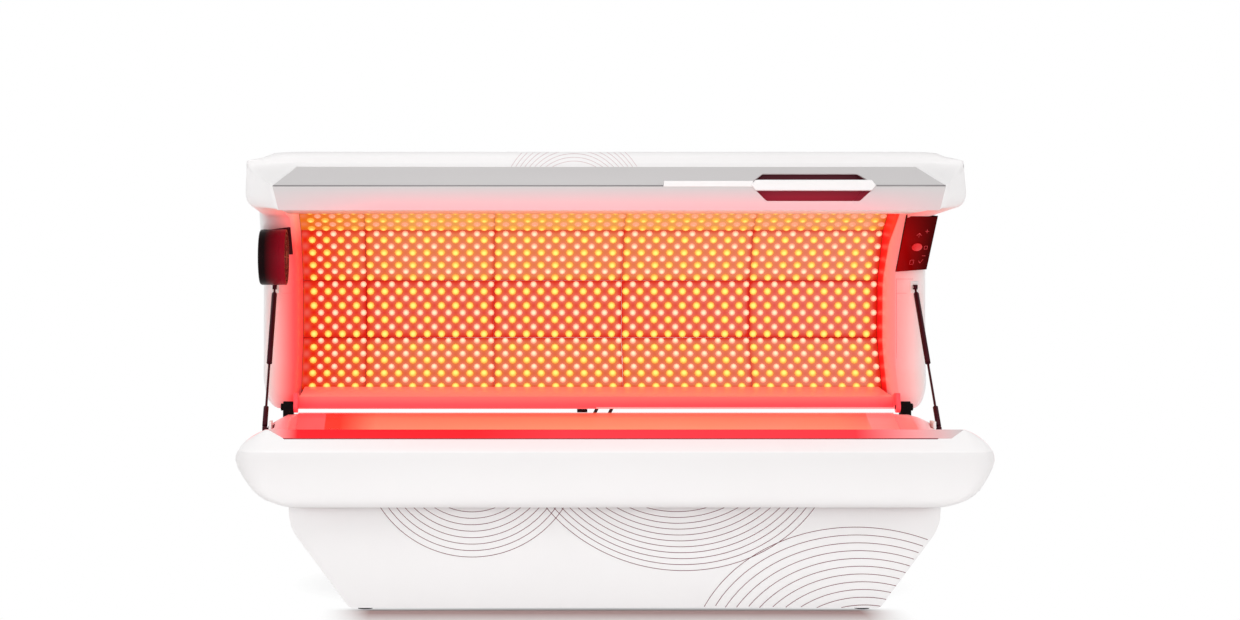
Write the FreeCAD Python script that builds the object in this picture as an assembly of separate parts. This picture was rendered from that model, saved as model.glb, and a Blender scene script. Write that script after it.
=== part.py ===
import FreeCAD, Part
import math
import os

# Full-length light bed: a bench on a pedestal and a hinged canopy, shown open.
# Millimetres. X runs along the bed, +Y to the back, +Z up, the floor is z = 0.

# General
SHEET = 3.0
RUNNING = 0.05
CLEAR = 0.3
NEAR = 0.001
TUBE = 40.0
TUBE_WALL = 3.0

# Pedestal
FOOT_HEIGHT = 8.0
FOOT_RADIUS = 22.0
FOOT_STEM = 6.0
FOOT_STEM_LONG = 37.0
FOOT_HUB = 12.0
FOOT_INSET = 223.0
PEDESTAL_HEIGHT = 302.0
PEDESTAL_STEP = 157.0
PEDESTAL_SHOULDER = 61.0
PEDESTAL_SLANT = 36.5
PEDESTAL_SHOULDER_ROUND = 130.0
PEDESTAL_TOE_ROUND = 20.0
PEDESTAL_FRONT_STEP = 98.0
PEDESTAL_REAR_STEP = 50.0
PANEL = 5.0
RAIL_INSET = 25.0

# Bench
BENCH_HEIGHT = 225.0
BENCH_SHORT = 11.0
BENCH_FRONT = -708.0
BENCH_REAR = 350.0
BENCH_WALL = 6.0
BENCH_FRONT_CORNER = 150.0
BENCH_REAR_CORNER = 60.0
BENCH_FRONT_SHARE = 0.6
BENCH_REAR_SHARE = 0.1
# Share of the bench height, then how far the end wall stands in from the nose there
BENCH_NOSE = ((0.0, 149.0), (0.11, 87.0), (0.31, 38.0), (0.62, 0.0),
              (0.82, 24.0), (0.93, 57.0), (1.0, 90.0))

# Bed sheet and the lamp tray under it
BED_END_RIM = 113.0
BED_FRONT_RIM = 70.0
BED_REAR_RIM = 62.0
BED_SAG = 110.0
BED_SHEET = 8.0
BED_LAMP_GAP = 40.0
BED_TRAY_SHORT = 74.0
BED_FACETS = 5
BED_WALL_INSET = 18.0
BED_EDGE = 1.0
BED_BOARD_TRIM = 0.02
BED_BOARD_INSET = 5.0
BED_RIBS = 4
BED_RIB = 10.0
BED_RIB_CLEAR = 6.0
BED_RIB_CHAMFER = 30.0

# Hinge
HINGE_SETBACK = 113.0
HINGE_RISE = 21.5
HINGE_RADIUS = 19.0
HINGE_INSET = 7.0
HINGE_BLOCK = 34.0
HINGE_PLATE = 14.5
HINGE_GAP = 0.5
PIN_RADIUS = 8.0
PIN_HEAD_RADIUS = 12.0
PIN_HEAD = 8.0
POST_INSET = 83.0
POST = 24.0
POST_ARM_RISE = 79.0
POST_ARM = 25.0
SLOT_CLEAR = 2.0
HINGE_SLOT_DEEP = 48.0
HINGE_PLATE_RISE = 45.0
HINGE_PLATE_TOP = 7.6
HINGE_PLATE_LOW = 17.1

# Canopy section, measured from the hinge axis
CANOPY_HALF = 1128.0
SHELL = 5.0
END_ROUND = 30.0
HOOD_FRONT = -460.0
HOOD_TOP = 825.0
HOOD_FALL = 14.0
CROWN_ROUND = 60.0
HOOD_BACK = 471.0
BACK_ROUND = 480.0
KNEE_Z = 140.0
KNEE_ROUND = 430.0
HEEL_Y = 365.0
HEEL_Z = 4.5
HEEL_ROUND = 40.0
LIP_Y = 25.0
LIP_Z = -7.5
SILL_Y = 48.0
SILL_Z = 31.5
SILL_BACK_Z = 56.0
SILL_BACK_GAP = 46.0
FLANGE_Y = 113.0
FLANGE_LOW = 133.0
FLANGE_LOW_ROUND = 120.0
FLANGE_HIGH = 488.0
FLANGE_HIGH_ROUND = 100.0
SLANT_Y = -62.0
SLANT_DROP = 13.0
SLANT_ROUND = 80.0
VISOR_DROP = 177.0
FLANGE = 4.0
FLANGE_SIDE_GAP = 3.0
FLANGE_WIDE = 105.0
REACH = 120.0

# Canopy lamps: flat boards round an arc
ARC_Y = -29.0
ARC_Z = 312.5
LAMP_FACE = 403.0
BOARD = 2.0
TRAY = 2.0
FACETS = 5
FACET_STEP = 28.0
FACET_LOW = -40.0
TRAY_GAP = 3.0
BOARD_MARGIN = 10.0
BOARD_PARTS = (7, 15, 15, 15, 15)
BOARD_TRIM = 0.004
BOARD_GAP = 1.0
TROUGH_LEAN = 10.0
DRIVER_LONG = 220.0
DRIVER_WIDE = 64.0
DRIVER_HIGH = 36.0

# Canopy frame
FRAME_TUBE = 25.0
FRAME_WALL = 2.5
FRAME_STEP = 49.0
FRAME_ANGLES = (-18.0, 30.0, 78.0)
HOOP = 6.0
RIB = 8.0
RIB_DROP = 160.0
RIB_END = 123.0
BEAM_Y = 95.0
BEAM_Z = 1.5

# Visor nose, silver trim and handle
RIDGE_REACH = 150.0
RIDGE_DROP = 107.5
TRIM_TOP_REACH = 12.0
TRIM_TOP_DROP = 50.5
TRIM_LOW_DROP = 198.5
TRIM_INSET = 97.0
TRIM_TOP_STEP = 65.0
TRIM_LOW_STEP = 19.0
TRIM_RETURN = 20.0
NOSE_INSET = 33.0
NOSE_OVERHANG = 5.0
NOSE_WALL = 4.0
LINER_BEND = 70.0
HANDLE_WIDE = 370.0
HANDLE_END = 214.0
HANDLE_RISE = 32.0
HANDLE_DROP = 56.0
HANDLE_SLOPE = 38.0
CUP_DEPTH = 75.0
CUP_WALL = 3.0
GRIP_HEIGHT = 32.0
GRIP_DEPTH = 24.0
GRIP_PROUD = 6.0
GRIP_POST = 8.0
GRIP_POST_INSET = 36.0
LIGHT_LONG = 279.0
LIGHT_HEIGHT = 13.0
LIGHT_PROUD = 2.0

# Front rim trim of the bench
RIM_TOP_STEP = 100.0
RIM_LOW_STEP = 32.0
RIM_HEIGHT = 24.0
RIM_PROUD = 4.0
RIM_LEAN = 30.0

# Gas struts, measured from the hinge axis
STRUT_INSET = 40.0
STRUT_TOP_Y = 100.0
STRUT_TOP_Z = 402.5
STRUT_LOW_Y = -260.0
STRUT_LOW_Z = -57.5
STRUT_RADIUS = 9.0
STRUT_NECK = 30.0
STRUT_TAPER = 10.0
NECK_RADIUS = 3.5
STRUT_BODY = 290.0
STRUT_END_WALL = 12.0
ROD_RADIUS = 4.0
ROD_INSIDE = 80.0
SLEEVE_RADIUS = 8.5
SLEEVE = 74.0
SLEEVE_GAP = 12.0
EYE_RADIUS = 8.0
EYE = 14.0
STUD_RADIUS = 4.0
STUD_EAR = 6.0
STUD_FOOT = 3.0
STUD_FOOT_HALF = 20.0
STUD_FLANGE = 2.5
STUD_FLANGE_RADIUS = 10.0
BRACKET = 8.0
BRACKET_WIDE = 60.0
BRACKET_RISE = 26.0
STRUT_SLOT_IN = 34.0
STRUT_SLOT_OUT = 16.0
STRUT_SLOT_DROP = 26.0

# Control panel on the right, body fan on the left
PANEL_INSET = 5.0
PANEL_WIDE = 94.0
PANEL_TOP_REACH = 15.0
PANEL_TOP_DROP = 8.5
PANEL_LOW_REACH = 12.0
PANEL_LOW_DROP = 36.5
GLASS = 3.0
GLASS_MARGIN = 4.0
BUTTON_RADIUS = 17.0
BUTTON_LONG = 9.0
BUTTON_PROUD = 3.0
FAN_ALONG = 75.02376
FAN_SEAT = 8.63519
FAN_INSET = 8.0
FAN_LONG = 88.0
FAN_RADIUS = 92.0
FAN_WALL = 4.0
FAN_PLATE = 12.0
FAN_POST = 44.0
FAN_HUB = 26.0
FAN_TIP_GAP = 4.0
FAN_BLADES = 7
MOTOR_RADIUS = 22.0
MOTOR_LONG = 34.0
SHAFT_RADIUS = 3.0
HUB_LONG = 30.0
BLADE = 2.5
BLADE_PITCH = 35.0
WHEEL_LONG = 28.0
GUARD_BAR = 3.0
GUARD_RINGS = (0.45, 0.65, 0.85, 1.0)
GUARD_SPOKES = 8
GUARD_HUB = 21.0
FAN_HOLES = 6
FAN_HOLE_RING = 50.0
FAN_HOLE_RADIUS = 18.0

# Base equipment
BASE_FAN_SIZE = 140.0
BASE_FAN_DEEP = 40.0
BASE_FAN_X = 420.0
BASE_FAN_Z = 170.0
BASE_FAN_BORE = 65.0
BASE_WHEEL_LONG = 28.0
INLET_X = -520.0
INLET_Z = 110.0
INLET_WIDE = 60.0
INLET_HIGH = 46.0
INLET_DEEP = 38.0
EQUIPMENT_END = 257.0
SUPPLY_COUNT = 3
SUPPLY_LONG = 240.0
SUPPLY_WIDE = 120.0
SUPPLY_HIGH = 65.0
CONTROLLER_HIGH = 32.5
SCREW_RADIUS = 5.0
SCREW_HEAD = 3.0
SCREW_SHARES = (-0.95, -0.475, 0.0, 0.475, 0.95)
VENT_SLOTS = 9
VENT_SHARE = 0.25
SOCKET_SHARE = 0.6
DECK_GAP = 1.0

# Hoses between the bench deck and the canopy
HOSE_RADIUS = 7.0
HOSE_SETBACK = 41.0
HOSE_FEET = (2.0, 52.0)
HOSE_LEAN = 14.0
HOSE_REST = 16.0
CLAMP_X = -45.0
CLAMP_WIDE = 34.0
CLAMP_DEEP = 17.0
CLAMP_HIGH = 11.0

# Worked out from the sizes above
BENCH_FLOOR = FOOT_HEIGHT + PEDESTAL_HEIGHT
BENCH_TOP = BENCH_FLOOR + BENCH_HEIGHT
HINGE_Z = BENCH_TOP + HINGE_RISE
FLOOR_TOP = BENCH_FLOOR + BENCH_WALL
BENCH_HALF = CANOPY_HALF - BENCH_SHORT
PEDESTAL_HALF = BENCH_HALF - PEDESTAL_STEP
PEDESTAL_FRONT = BENCH_FRONT + PEDESTAL_FRONT_STEP
PEDESTAL_REAR = BENCH_REAR - PEDESTAL_REAR_STEP
FOOT_X = PEDESTAL_HALF - FOOT_INSET
CONTROLLER_X = FOOT_X - EQUIPMENT_END
SUPPLY_PITCH = 2 * CONTROLLER_X / SUPPLY_COUNT
BED_HALF = BENCH_HALF - BED_END_RIM
BED_FRONT = BENCH_FRONT + BED_FRONT_RIM
BED_REAR = BENCH_REAR - BED_REAR_RIM
BED_TRAY_HALF = BED_HALF - BED_TRAY_SHORT
RIM_TOP_HALF = BENCH_HALF - RIM_TOP_STEP
RIM_LOW_HALF = RIM_TOP_HALF - RIM_LOW_STEP
HINGE_Y = BENCH_REAR - HINGE_SETBACK
HOSE_Y = BENCH_REAR - HOSE_SETBACK
FLANGE_IN = CANOPY_HALF - FLANGE_WIDE
HINGE_BLOCK_IN = FLANGE_IN - HINGE_INSET
POST_IN = HINGE_BLOCK_IN - POST_INSET
TROUGH_BACK_X = FLANGE_IN - TROUGH_LEAN
TRAY_HALF = TROUGH_BACK_X - TRAY_GAP
BOARD_LEFT = BOARD_MARGIN - TRAY_HALF
RIB_PITCH = (FLANGE_IN - RIB_END) / 2
FRAME_RADIUS = LAMP_FACE + FRAME_STEP
VISOR_Z = HOOD_TOP - VISOR_DROP
SLANT_Z = VISOR_Z - SLANT_DROP
NOSE_BACK_HALF = CANOPY_HALF - NOSE_INSET
RIDGE_Y = HOOD_FRONT - RIDGE_REACH
RIDGE_Z = HOOD_TOP - RIDGE_DROP
TRIM_TOP_Y = HOOD_FRONT - TRIM_TOP_REACH
TRIM_TOP_Z = HOOD_TOP - TRIM_TOP_DROP
TRIM_LOW_Z = HOOD_TOP - TRIM_LOW_DROP
TRIM_RIDGE_HALF = CANOPY_HALF - TRIM_INSET
TRIM_TOP_HALF = TRIM_RIDGE_HALF - TRIM_TOP_STEP
TRIM_LOW_HALF = TRIM_RIDGE_HALF - TRIM_LOW_STEP
HANDLE_RIGHT = TRIM_RIDGE_HALF - HANDLE_END
HANDLE_LEFT = HANDLE_RIGHT - HANDLE_WIDE
LIGHT_LEFT = HANDLE_LEFT - LIGHT_LONG
STRUT_X = CANOPY_HALF - STRUT_INSET
PANEL_IN = FLANGE_IN + PANEL_INSET
PANEL_TOP_Y = SLANT_Y - PANEL_TOP_REACH
PANEL_TOP_Z = SLANT_Z - PANEL_TOP_DROP
PANEL_LOW_Y = FLANGE_Y - PANEL_LOW_REACH
PANEL_LOW_Z = FLANGE_HIGH - PANEL_LOW_DROP
FAN_OUT = CANOPY_HALF - FAN_INSET
SLANT_RUN = FLANGE_Y - SLANT_Y
SLANT_FALL = SLANT_Z - FLANGE_HIGH
SLANT_LONG = math.hypot(SLANT_RUN, SLANT_FALL)
FAN_STAND = FAN_RADIUS + FAN_PLATE + FAN_SEAT
FAN_Y = SLANT_Y + (FAN_ALONG * SLANT_RUN - FAN_STAND * SLANT_FALL) / SLANT_LONG
FAN_Z = SLANT_Z - (FAN_ALONG * SLANT_FALL + FAN_STAND * SLANT_RUN) / SLANT_LONG


def vector(x, y, z):
    return FreeCAD.Vector(x, y, z)


def corner_arc(before, corner, after, radius):
    """Start, middle and end of the arc that rounds one corner of an outline."""
    back = (before - corner).normalize()
    on = (after - corner).normalize()
    half = back.getAngle(on) / 2
    tangent = radius / math.tan(half)
    centre = corner + (back + on).normalize() * (radius / math.sin(half))
    middle = centre + (corner - centre).normalize() * radius
    return corner + back * tangent, middle, corner + on * tangent


def outline(points, place):
    """Closed wire through (a, b) or (a, b, radius) corners; place turns a, b into a vector."""
    corners = [place(point[0], point[1]) for point in points]
    count = len(points)
    stops = []
    for index, point in enumerate(points):
        corner = corners[index]
        if len(point) > 2 and point[2] > 0:
            stops.append(corner_arc(corners[index - 1], corner, corners[(index + 1) % count], point[2]))
        else:
            stops.append((corner, None, corner))
    edges = []
    for index, (start, middle, end) in enumerate(stops):
        if middle:
            edges.append(Part.Arc(start, middle, end).toShape())
        edges.append(Part.LineSegment(end, stops[(index + 1) % count][0]).toShape())
    return Part.Wire(edges)


def inset(points, depth):
    """The outline moved inwards by depth, or outwards if it is negative, with parallel corners."""
    count = len(points)
    area = sum(points[i - 1][0] * points[i][1] - points[i][0] * points[i - 1][1] for i in range(count))
    side = math.copysign(1.0, area)
    moved = []
    for index, point in enumerate(points):
        before = points[index - 1]
        after = points[(index + 1) % count]
        back = math.atan2(point[1] - before[1], point[0] - before[0])
        on = math.atan2(after[1] - point[1], after[0] - point[0])
        turn = side * math.sin(on - back)
        scale = side * depth / (1 + math.cos(on - back))
        radius = point[2] if len(point) > 2 else 0.0
        if radius:
            radius = max(radius - depth * math.copysign(1.0, turn), 0.0)
        moved.append((point[0] - scale * (math.sin(back) + math.sin(on)),
                      point[1] + scale * (math.cos(back) + math.cos(on)), radius))
    return moved


def prism_x(points, x0, x1):
    face = Part.Face(outline(points, lambda y, z: vector(x0, y, z)))
    return face.extrude(vector(x1 - x0, 0, 0))


def prism_y(points, y0, y1):
    face = Part.Face(outline(points, lambda x, z: vector(x, y0, z)))
    return face.extrude(vector(0, y1 - y0, 0))


def prism_z(points, z0, z1):
    face = Part.Face(outline(points, lambda x, y: vector(x, y, z0)))
    return face.extrude(vector(0, 0, z1 - z0))


def box(x0, x1, y0, y1, z0, z1):
    return Part.makeBox(x1 - x0, y1 - y0, z1 - z0, vector(x0, y0, z0))


def rod_x(x0, x1, y, z, radius):
    return Part.makeCylinder(radius, x1 - x0, vector(x0, y, z), vector(1, 0, 0))


def rod_y(y0, y1, x, z, radius):
    return Part.makeCylinder(radius, y1 - y0, vector(x, y0, z), vector(0, 1, 0))


def rod_z(z0, z1, x, y, radius):
    return Part.makeCylinder(radius, z1 - z0, vector(x, y, z0), vector(0, 0, 1))


def mirrored(shape):
    return shape.mirror(vector(0, 0, 0), vector(1, 0, 0))


def save(name, *shapes):
    """Write one node: a single solid, or a group of separate solids."""
    solids = [solid for shape in shapes for solid in shape.Solids]
    result = solids[0] if len(solids) == 1 else Part.makeCompound(solids)
    result.exportStep(os.path.join("parts", name + ".step"))
    print(name, len(solids), "valid" if result.isValid() else "INVALID", round(result.Volume / 1000), "cm3")


def save_canopy(name, *shapes):
    """Write a node that is drawn from the hinge axis."""
    save(name, *[shape.translated(vector(0, HINGE_Y, HINGE_Z)) for shape in shapes])


def save_pair(name, shape, saver=save):
    """Write the right-hand piece and its mirror image."""
    saver(name + "_right", shape)
    saver(name + "_left", mirrored(shape))


# Pedestal

def pedestal_outline():
    drop = PEDESTAL_HEIGHT - PEDESTAL_SHOULDER
    toe_half = PEDESTAL_HALF - drop * math.tan(math.radians(PEDESTAL_SLANT))
    shoulder = BENCH_FLOOR - PEDESTAL_SHOULDER
    right = [(toe_half, FOOT_HEIGHT, PEDESTAL_TOE_ROUND),
             (PEDESTAL_HALF, shoulder, PEDESTAL_SHOULDER_ROUND),
             (PEDESTAL_HALF, BENCH_FLOOR)]
    left = [(-point[0],) + point[1:] for point in reversed(right)]
    return right + left


def rail_y(side):
    """Middle of the front (-1) or rear (1) rail of the base frame."""
    face = PEDESTAL_FRONT + PANEL + RAIL_INSET if side < 0 else PEDESTAL_REAR - PANEL - RAIL_INSET
    return face - side * TUBE / 2


def tube_pair(limits, along, wall):
    """A square tube as its outer box and the space inside it, open at both ends of one axis."""
    inner = list(limits)
    for axis in range(3):
        if axis != along:
            inner[2 * axis] += wall
            inner[2 * axis + 1] -= wall
    return box(*limits), box(*inner)


def welded(pairs):
    """Tubes joined to one frame, with their inner spaces joined too."""
    outer = [pair[0] for pair in pairs]
    inner = [pair[1] for pair in pairs]
    return outer[0].multiFuse(outer[1:]).removeSplitter().cut(inner)


def base_frame():
    """Welded frame: long rails below and above, cross rails and uprights."""
    low = FOOT_HEIGHT + PANEL
    top = BENCH_FLOOR
    half = FOOT_X + TUBE / 2
    side = TUBE / 2
    front = rail_y(-1)
    rear = rail_y(1)
    places = (-half + side, 0.0, half - side)
    pairs = []
    for y in (front, rear):
        for z in (low, top - TUBE):
            pairs.append(tube_pair((-half, half, y - side, y + side, z, z + TUBE), 0, TUBE_WALL))
        for x in places:
            upright = (x - side, x + side, y - side, y + side, low + side, top - side)
            pairs.append(tube_pair(upright, 2, TUBE_WALL))
    for x in places:
        for z in (low, top - TUBE):
            pairs.append(tube_pair((x - side, x + side, front, rear, z, z + TUBE), 1, TUBE_WALL))
    stems = [rod_z(low, low + TUBE, x, y, FOOT_STEM + RUNNING) for x, y in foot_places()]
    return welded(pairs).cut(stems)


def foot_places():
    return [(side * FOOT_X, rail_y(end)) for side in (-1, 1) for end in (-1, 1)]


def levelling_foot(x, y):
    pad = rod_z(0, FOOT_HEIGHT, x, y, FOOT_RADIUS)
    hub = rod_z(FOOT_HEIGHT, FOOT_HEIGHT + PANEL, x, y, FOOT_HUB)
    stem = rod_z(FOOT_HEIGHT, FOOT_HEIGHT + FOOT_STEM_LONG, x, y, FOOT_STEM)
    return pad.fuse([hub, stem]).removeSplitter()


def pedestal_end():
    """Right end panel with a return flange under the frame rails."""
    around = pedestal_outline()
    front = PEDESTAL_FRONT + PANEL
    rear = PEDESTAL_REAR - PANEL
    band = prism_y(around, front, rear).cut(prism_y(inset(around, PANEL), front, rear))
    keep = box(FOOT_X + FOOT_HUB + PANEL, PEDESTAL_HALF, front, rear, 0, BENCH_FLOOR - PANEL)
    return band.common(keep)


def rear_panel():
    panel = prism_y(pedestal_outline(), PEDESTAL_REAR - PANEL, PEDESTAL_REAR)
    half = BASE_FAN_SIZE / 2 - PANEL
    vent = box(BASE_FAN_X - half, BASE_FAN_X + half, PEDESTAL_REAR - PANEL, PEDESTAL_REAR,
               BASE_FAN_Z - half, BASE_FAN_Z + half)
    inlet = box(INLET_X - INLET_WIDE / 2, INLET_X + INLET_WIDE / 2, PEDESTAL_REAR - PANEL, PEDESTAL_REAR,
                INLET_Z - INLET_HIGH / 2, INLET_Z + INLET_HIGH / 2)
    return panel.cut([vent, inlet])


def panel_screws():
    """Round screw heads along the rear panel."""
    heads = []
    for x in [share * FOOT_X for share in SCREW_SHARES]:
        for z in (BENCH_FLOOR - TUBE / 2, FOOT_HEIGHT + TUBE):
            heads.append(rod_y(PEDESTAL_REAR, PEDESTAL_REAR + SCREW_HEAD, x, z, SCREW_RADIUS))
    return heads


# Fans

def rotor(hub, tip, long, bore, blades):
    """Axial fan wheel about +Z, from z = 0 up."""
    chord = (long - 2 * BLADE) / math.cos(math.radians(BLADE_PITCH))
    blade = Part.makeBox(tip - hub + BLADE, BLADE, chord, vector(hub - BLADE, -BLADE / 2, -chord / 2))
    blade.rotate(vector(0, 0, 0), vector(1, 0, 0), BLADE_PITCH)
    blade.translate(vector(0, 0, long / 2))
    wheel = Part.makeCylinder(hub, long)
    turned = [blade.rotated(vector(0, 0, 0), vector(0, 0, 1), 360.0 * i / blades) for i in range(blades)]
    wheel = wheel.fuse(turned).common(Part.makeCylinder(tip, long))
    return wheel.cut(Part.makeCylinder(bore, long)).removeSplitter()


def grille(radius, thick, middle):
    """Round guard about +Z: rings and spokes."""
    rings = [Part.makeCylinder(middle, thick)]
    for share in GUARD_RINGS:
        outer = radius * share
        rings.append(Part.makeCylinder(outer, thick).cut(Part.makeCylinder(outer - GUARD_BAR, thick)))
    spoke = Part.makeBox(radius - GUARD_BAR / 2, GUARD_BAR, thick, vector(0, -GUARD_BAR / 2, 0))
    turn = 360.0 / GUARD_SPOKES
    spokes = [spoke.rotated(vector(0, 0, 0), vector(0, 0, 1), turn * i) for i in range(GUARD_SPOKES)]
    return rings[0].multiFuse(rings[1:] + spokes).removeSplitter()


def along_x(shape, x, y, z):
    """Turn a piece built along +Z so that it runs along +X from x."""
    turned = shape.rotated(vector(0, 0, 0), vector(0, 1, 0), 90)
    return turned.translated(vector(x, y, z))


def along_y(shape, x, y, z):
    turned = shape.rotated(vector(0, 0, 0), vector(1, 0, 0), -90)
    return turned.translated(vector(x, y, z))


# Bench

def bench_section(share, stand, grow):
    """Plan outline of the bench at a share of its height."""
    half = BENCH_HALF - stand
    front = BENCH_FRONT + BENCH_FRONT_SHARE * stand
    rear = BENCH_REAR - BENCH_REAR_SHARE * stand
    plan = [(-half, front, BENCH_FRONT_CORNER), (half, front, BENCH_FRONT_CORNER),
            (half, rear, BENCH_REAR_CORNER), (-half, rear, BENCH_REAR_CORNER)]
    z = BENCH_FLOOR + share * BENCH_HEIGHT
    z = min(max(z, BENCH_FLOOR + grow), BENCH_TOP - grow)
    return outline(inset(plan, grow) if grow else plan, lambda x, y: vector(x, y, z))


def bench_solid(wall):
    wires = [bench_section(share, stand, wall) for share, stand in BENCH_NOSE]
    return Part.makeLoft(wires, True, False)


def bench_tub():
    above = BENCH_TOP + BENCH_WALL
    half = BED_HALF + BED_EDGE
    opening = box(-half, half, BED_FRONT - 2 * BED_EDGE, BED_REAR + 2 * BED_EDGE, BENCH_TOP - BED_SAG, above)
    tub = bench_solid(0.0).cut(bench_solid(BENCH_WALL)).cut(opening)
    block_slot = box(HINGE_BLOCK_IN - SLOT_CLEAR, HINGE_BLOCK_IN + HINGE_BLOCK + SLOT_CLEAR,
                     HINGE_Y - HINGE_RADIUS - SLOT_CLEAR, HINGE_Y + HINGE_RADIUS + SLOT_CLEAR,
                     BENCH_TOP - HINGE_SLOT_DEEP, above)
    low_y = HINGE_Y + STRUT_LOW_Y
    low_z = HINGE_Z + STRUT_LOW_Z
    side = BRACKET_WIDE / 2 + SLOT_CLEAR
    strut_slot = box(STRUT_X - STRUT_SLOT_IN, STRUT_X + STRUT_SLOT_OUT, low_y - side, low_y + side,
                     low_z - STRUT_SLOT_DROP, above)
    slots = [block_slot, strut_slot, mirrored(block_slot), mirrored(strut_slot)]
    return tub.cut(slots + cable_hoses(CLEAR))


def bed_arc():
    """Middle of the bed's arc in Y and Z, and the radius of its upper face."""
    half = (BED_REAR - BED_FRONT) / 2
    radius = (half * half + BED_SAG * BED_SAG) / (2 * BED_SAG)
    return (BED_REAR + BED_FRONT) / 2, BENCH_TOP - BED_SAG + radius, radius


def bed_sheet():
    y, z, radius = bed_arc()
    outer = rod_x(-BED_HALF, BED_HALF, y, z, radius + BED_SHEET)
    ring = outer.cut(rod_x(-BED_HALF, BED_HALF, y, z, radius))
    return ring.common(box(-BED_HALF, BED_HALF, BED_FRONT, BED_REAR, 0, BENCH_TOP))


def chain(y, z, apothem, low, step, count):
    """Corners of a run of flat facets round an arc, in Y and Z."""
    reach = apothem / math.cos(math.radians(step / 2))
    angles = [math.radians(low + step * i) for i in range(count + 1)]
    return [(y + reach * math.cos(a), z + reach * math.sin(a)) for a in angles]


def facet_band(y, z, near, far, low, step, count):
    return chain(y, z, near, low, step, count) + chain(y, z, far, low, step, count)[::-1]


def bed_span():
    """Lamp arc under the bed: middle, apothem of the lamp face, first angle and step."""
    y, z, radius = bed_arc()
    half = (BED_REAR - BED_FRONT) / 2 - BED_WALL_INSET
    apothem = radius + BED_SHEET + BED_LAMP_GAP
    spread = math.degrees(math.asin(half / (apothem + BOARD + TRAY)))
    return y, z, apothem, -90 - spread, 2 * spread / BED_FACETS


def bed_tray():
    """Faceted sheet with two upright walls that carry the bed sheet's edges."""
    y, z, apothem, low, step = bed_span()
    _, _, radius = bed_arc()
    tray = prism_x(facet_band(y, z, apothem + BOARD, apothem + BOARD + TRAY, low, step, BED_FACETS),
                   -BED_TRAY_HALF, BED_TRAY_HALF)
    ends = chain(y, z, apothem + BOARD, low, step, BED_FACETS)
    seat = radius + BED_SHEET + CLEAR
    walls = []
    for side, (edge_y, edge_z) in ((-1, ends[0]), (1, ends[-1])):
        outer = edge_y + side * SHEET
        top = z - math.sqrt(seat * seat - (edge_y - y) ** 2) - CLEAR
        near = min(edge_y, outer)
        far = max(edge_y, outer)
        walls.append(box(-BED_TRAY_HALF, BED_TRAY_HALF, near, far, edge_z - SHEET, top))
    return tray.fuse(walls).removeSplitter()


def bed_boards():
    y, z, apothem, low, step = bed_span()
    near = chain(y, z, apothem, low, step, BED_FACETS)
    far = chain(y, z, apothem + BOARD, low, step, BED_FACETS)
    trim = BED_BOARD_TRIM
    half = BED_TRAY_HALF - BED_BOARD_INSET
    boards = []
    for i in range(BED_FACETS):
        quad = [blend(near[i], near[i + 1], trim), blend(near[i], near[i + 1], 1 - trim),
                blend(far[i], far[i + 1], 1 - trim), blend(far[i], far[i + 1], trim)]
        boards.append(prism_x(quad, -half, half))
    return boards


def blend(start, end, share):
    return tuple(a + (b - a) * share for a, b in zip(start, end))


def bed_ribs():
    """Upright saddles between the bench floor and the lamp tray."""
    y, z, apothem, low, step = bed_span()
    under = chain(y, z, apothem + BOARD + TRAY, low, step, BED_FACETS)
    front = under[0][0] + BED_RIB_CLEAR
    rear = under[-1][0] - BED_RIB_CLEAR
    points = [(under[0][0], FLOOR_TOP)] + under + [(under[-1][0], FLOOR_TOP)]
    foot_front = front + BED_RIB_CHAMFER
    foot_rear = rear - BED_RIB_CHAMFER
    knee = FLOOR_TOP + BED_RIB_CHAMFER
    keep = [(foot_front, FLOOR_TOP), (foot_rear, FLOOR_TOP), (rear, knee), (rear, BENCH_TOP),
            (front, BENCH_TOP), (front, knee)]
    gap = 2 * BED_TRAY_HALF / BED_RIBS
    places = [-BED_TRAY_HALF + gap * (i + 0.5) for i in range(BED_RIBS)]
    ribs = []
    for x in places:
        x0 = x - BED_RIB / 2
        x1 = x + BED_RIB / 2
        ribs.append(prism_x(points, x0, x1).common(prism_x(keep, x0, x1)))
    return ribs


def rim_trim():
    """Silver strip along the front of the bench rim."""
    front = BENCH_FRONT + BENCH_FRONT_SHARE * BENCH_NOSE[-1][1]
    low_z = BENCH_TOP - RIM_HEIGHT
    right = [(RIM_LOW_HALF, low_z), (RIM_TOP_HALF, BENCH_TOP)]
    left = [(-x, z) for x, z in reversed(right)]
    face = prism_y(right + left, BENCH_FRONT - RIM_PROUD, front + RIM_PROUD)
    proud = prism_x([(front + RIM_PROUD, BENCH_TOP), (front - RIM_PROUD, BENCH_TOP),
                     (front - RIM_PROUD - RIM_LEAN, low_z), (front + RIM_PROUD, low_z)],
                    -RIM_TOP_HALF, RIM_TOP_HALF)
    return face.common(proud).cut(bench_solid(0.0))


# Hinge and brackets in the bench

def post_bracket(inner, outer, top, y, wide):
    """Steel post on the bench floor with an arm out to a carrying lug."""
    arm = FLOOR_TOP + POST_ARM_RISE
    points = [(POST_IN, FLOOR_TOP), (POST_IN + POST, FLOOR_TOP), (POST_IN + POST, arm), (outer, arm),
              (outer, top), (inner, top), (inner, arm + POST_ARM), (POST_IN, arm + POST_ARM)]
    return prism_y(points, y - wide / 2, y + wide / 2)


def hinge_block():
    outer = HINGE_BLOCK_IN + HINGE_BLOCK
    block = post_bracket(HINGE_BLOCK_IN, outer, HINGE_Z, HINGE_Y, 2 * HINGE_RADIUS)
    block = block.fuse(rod_x(HINGE_BLOCK_IN, outer, HINGE_Y, HINGE_Z, HINGE_RADIUS)).removeSplitter()
    return block.cut(rod_x(HINGE_BLOCK_IN, outer, HINGE_Y, HINGE_Z, PIN_RADIUS))


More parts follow.
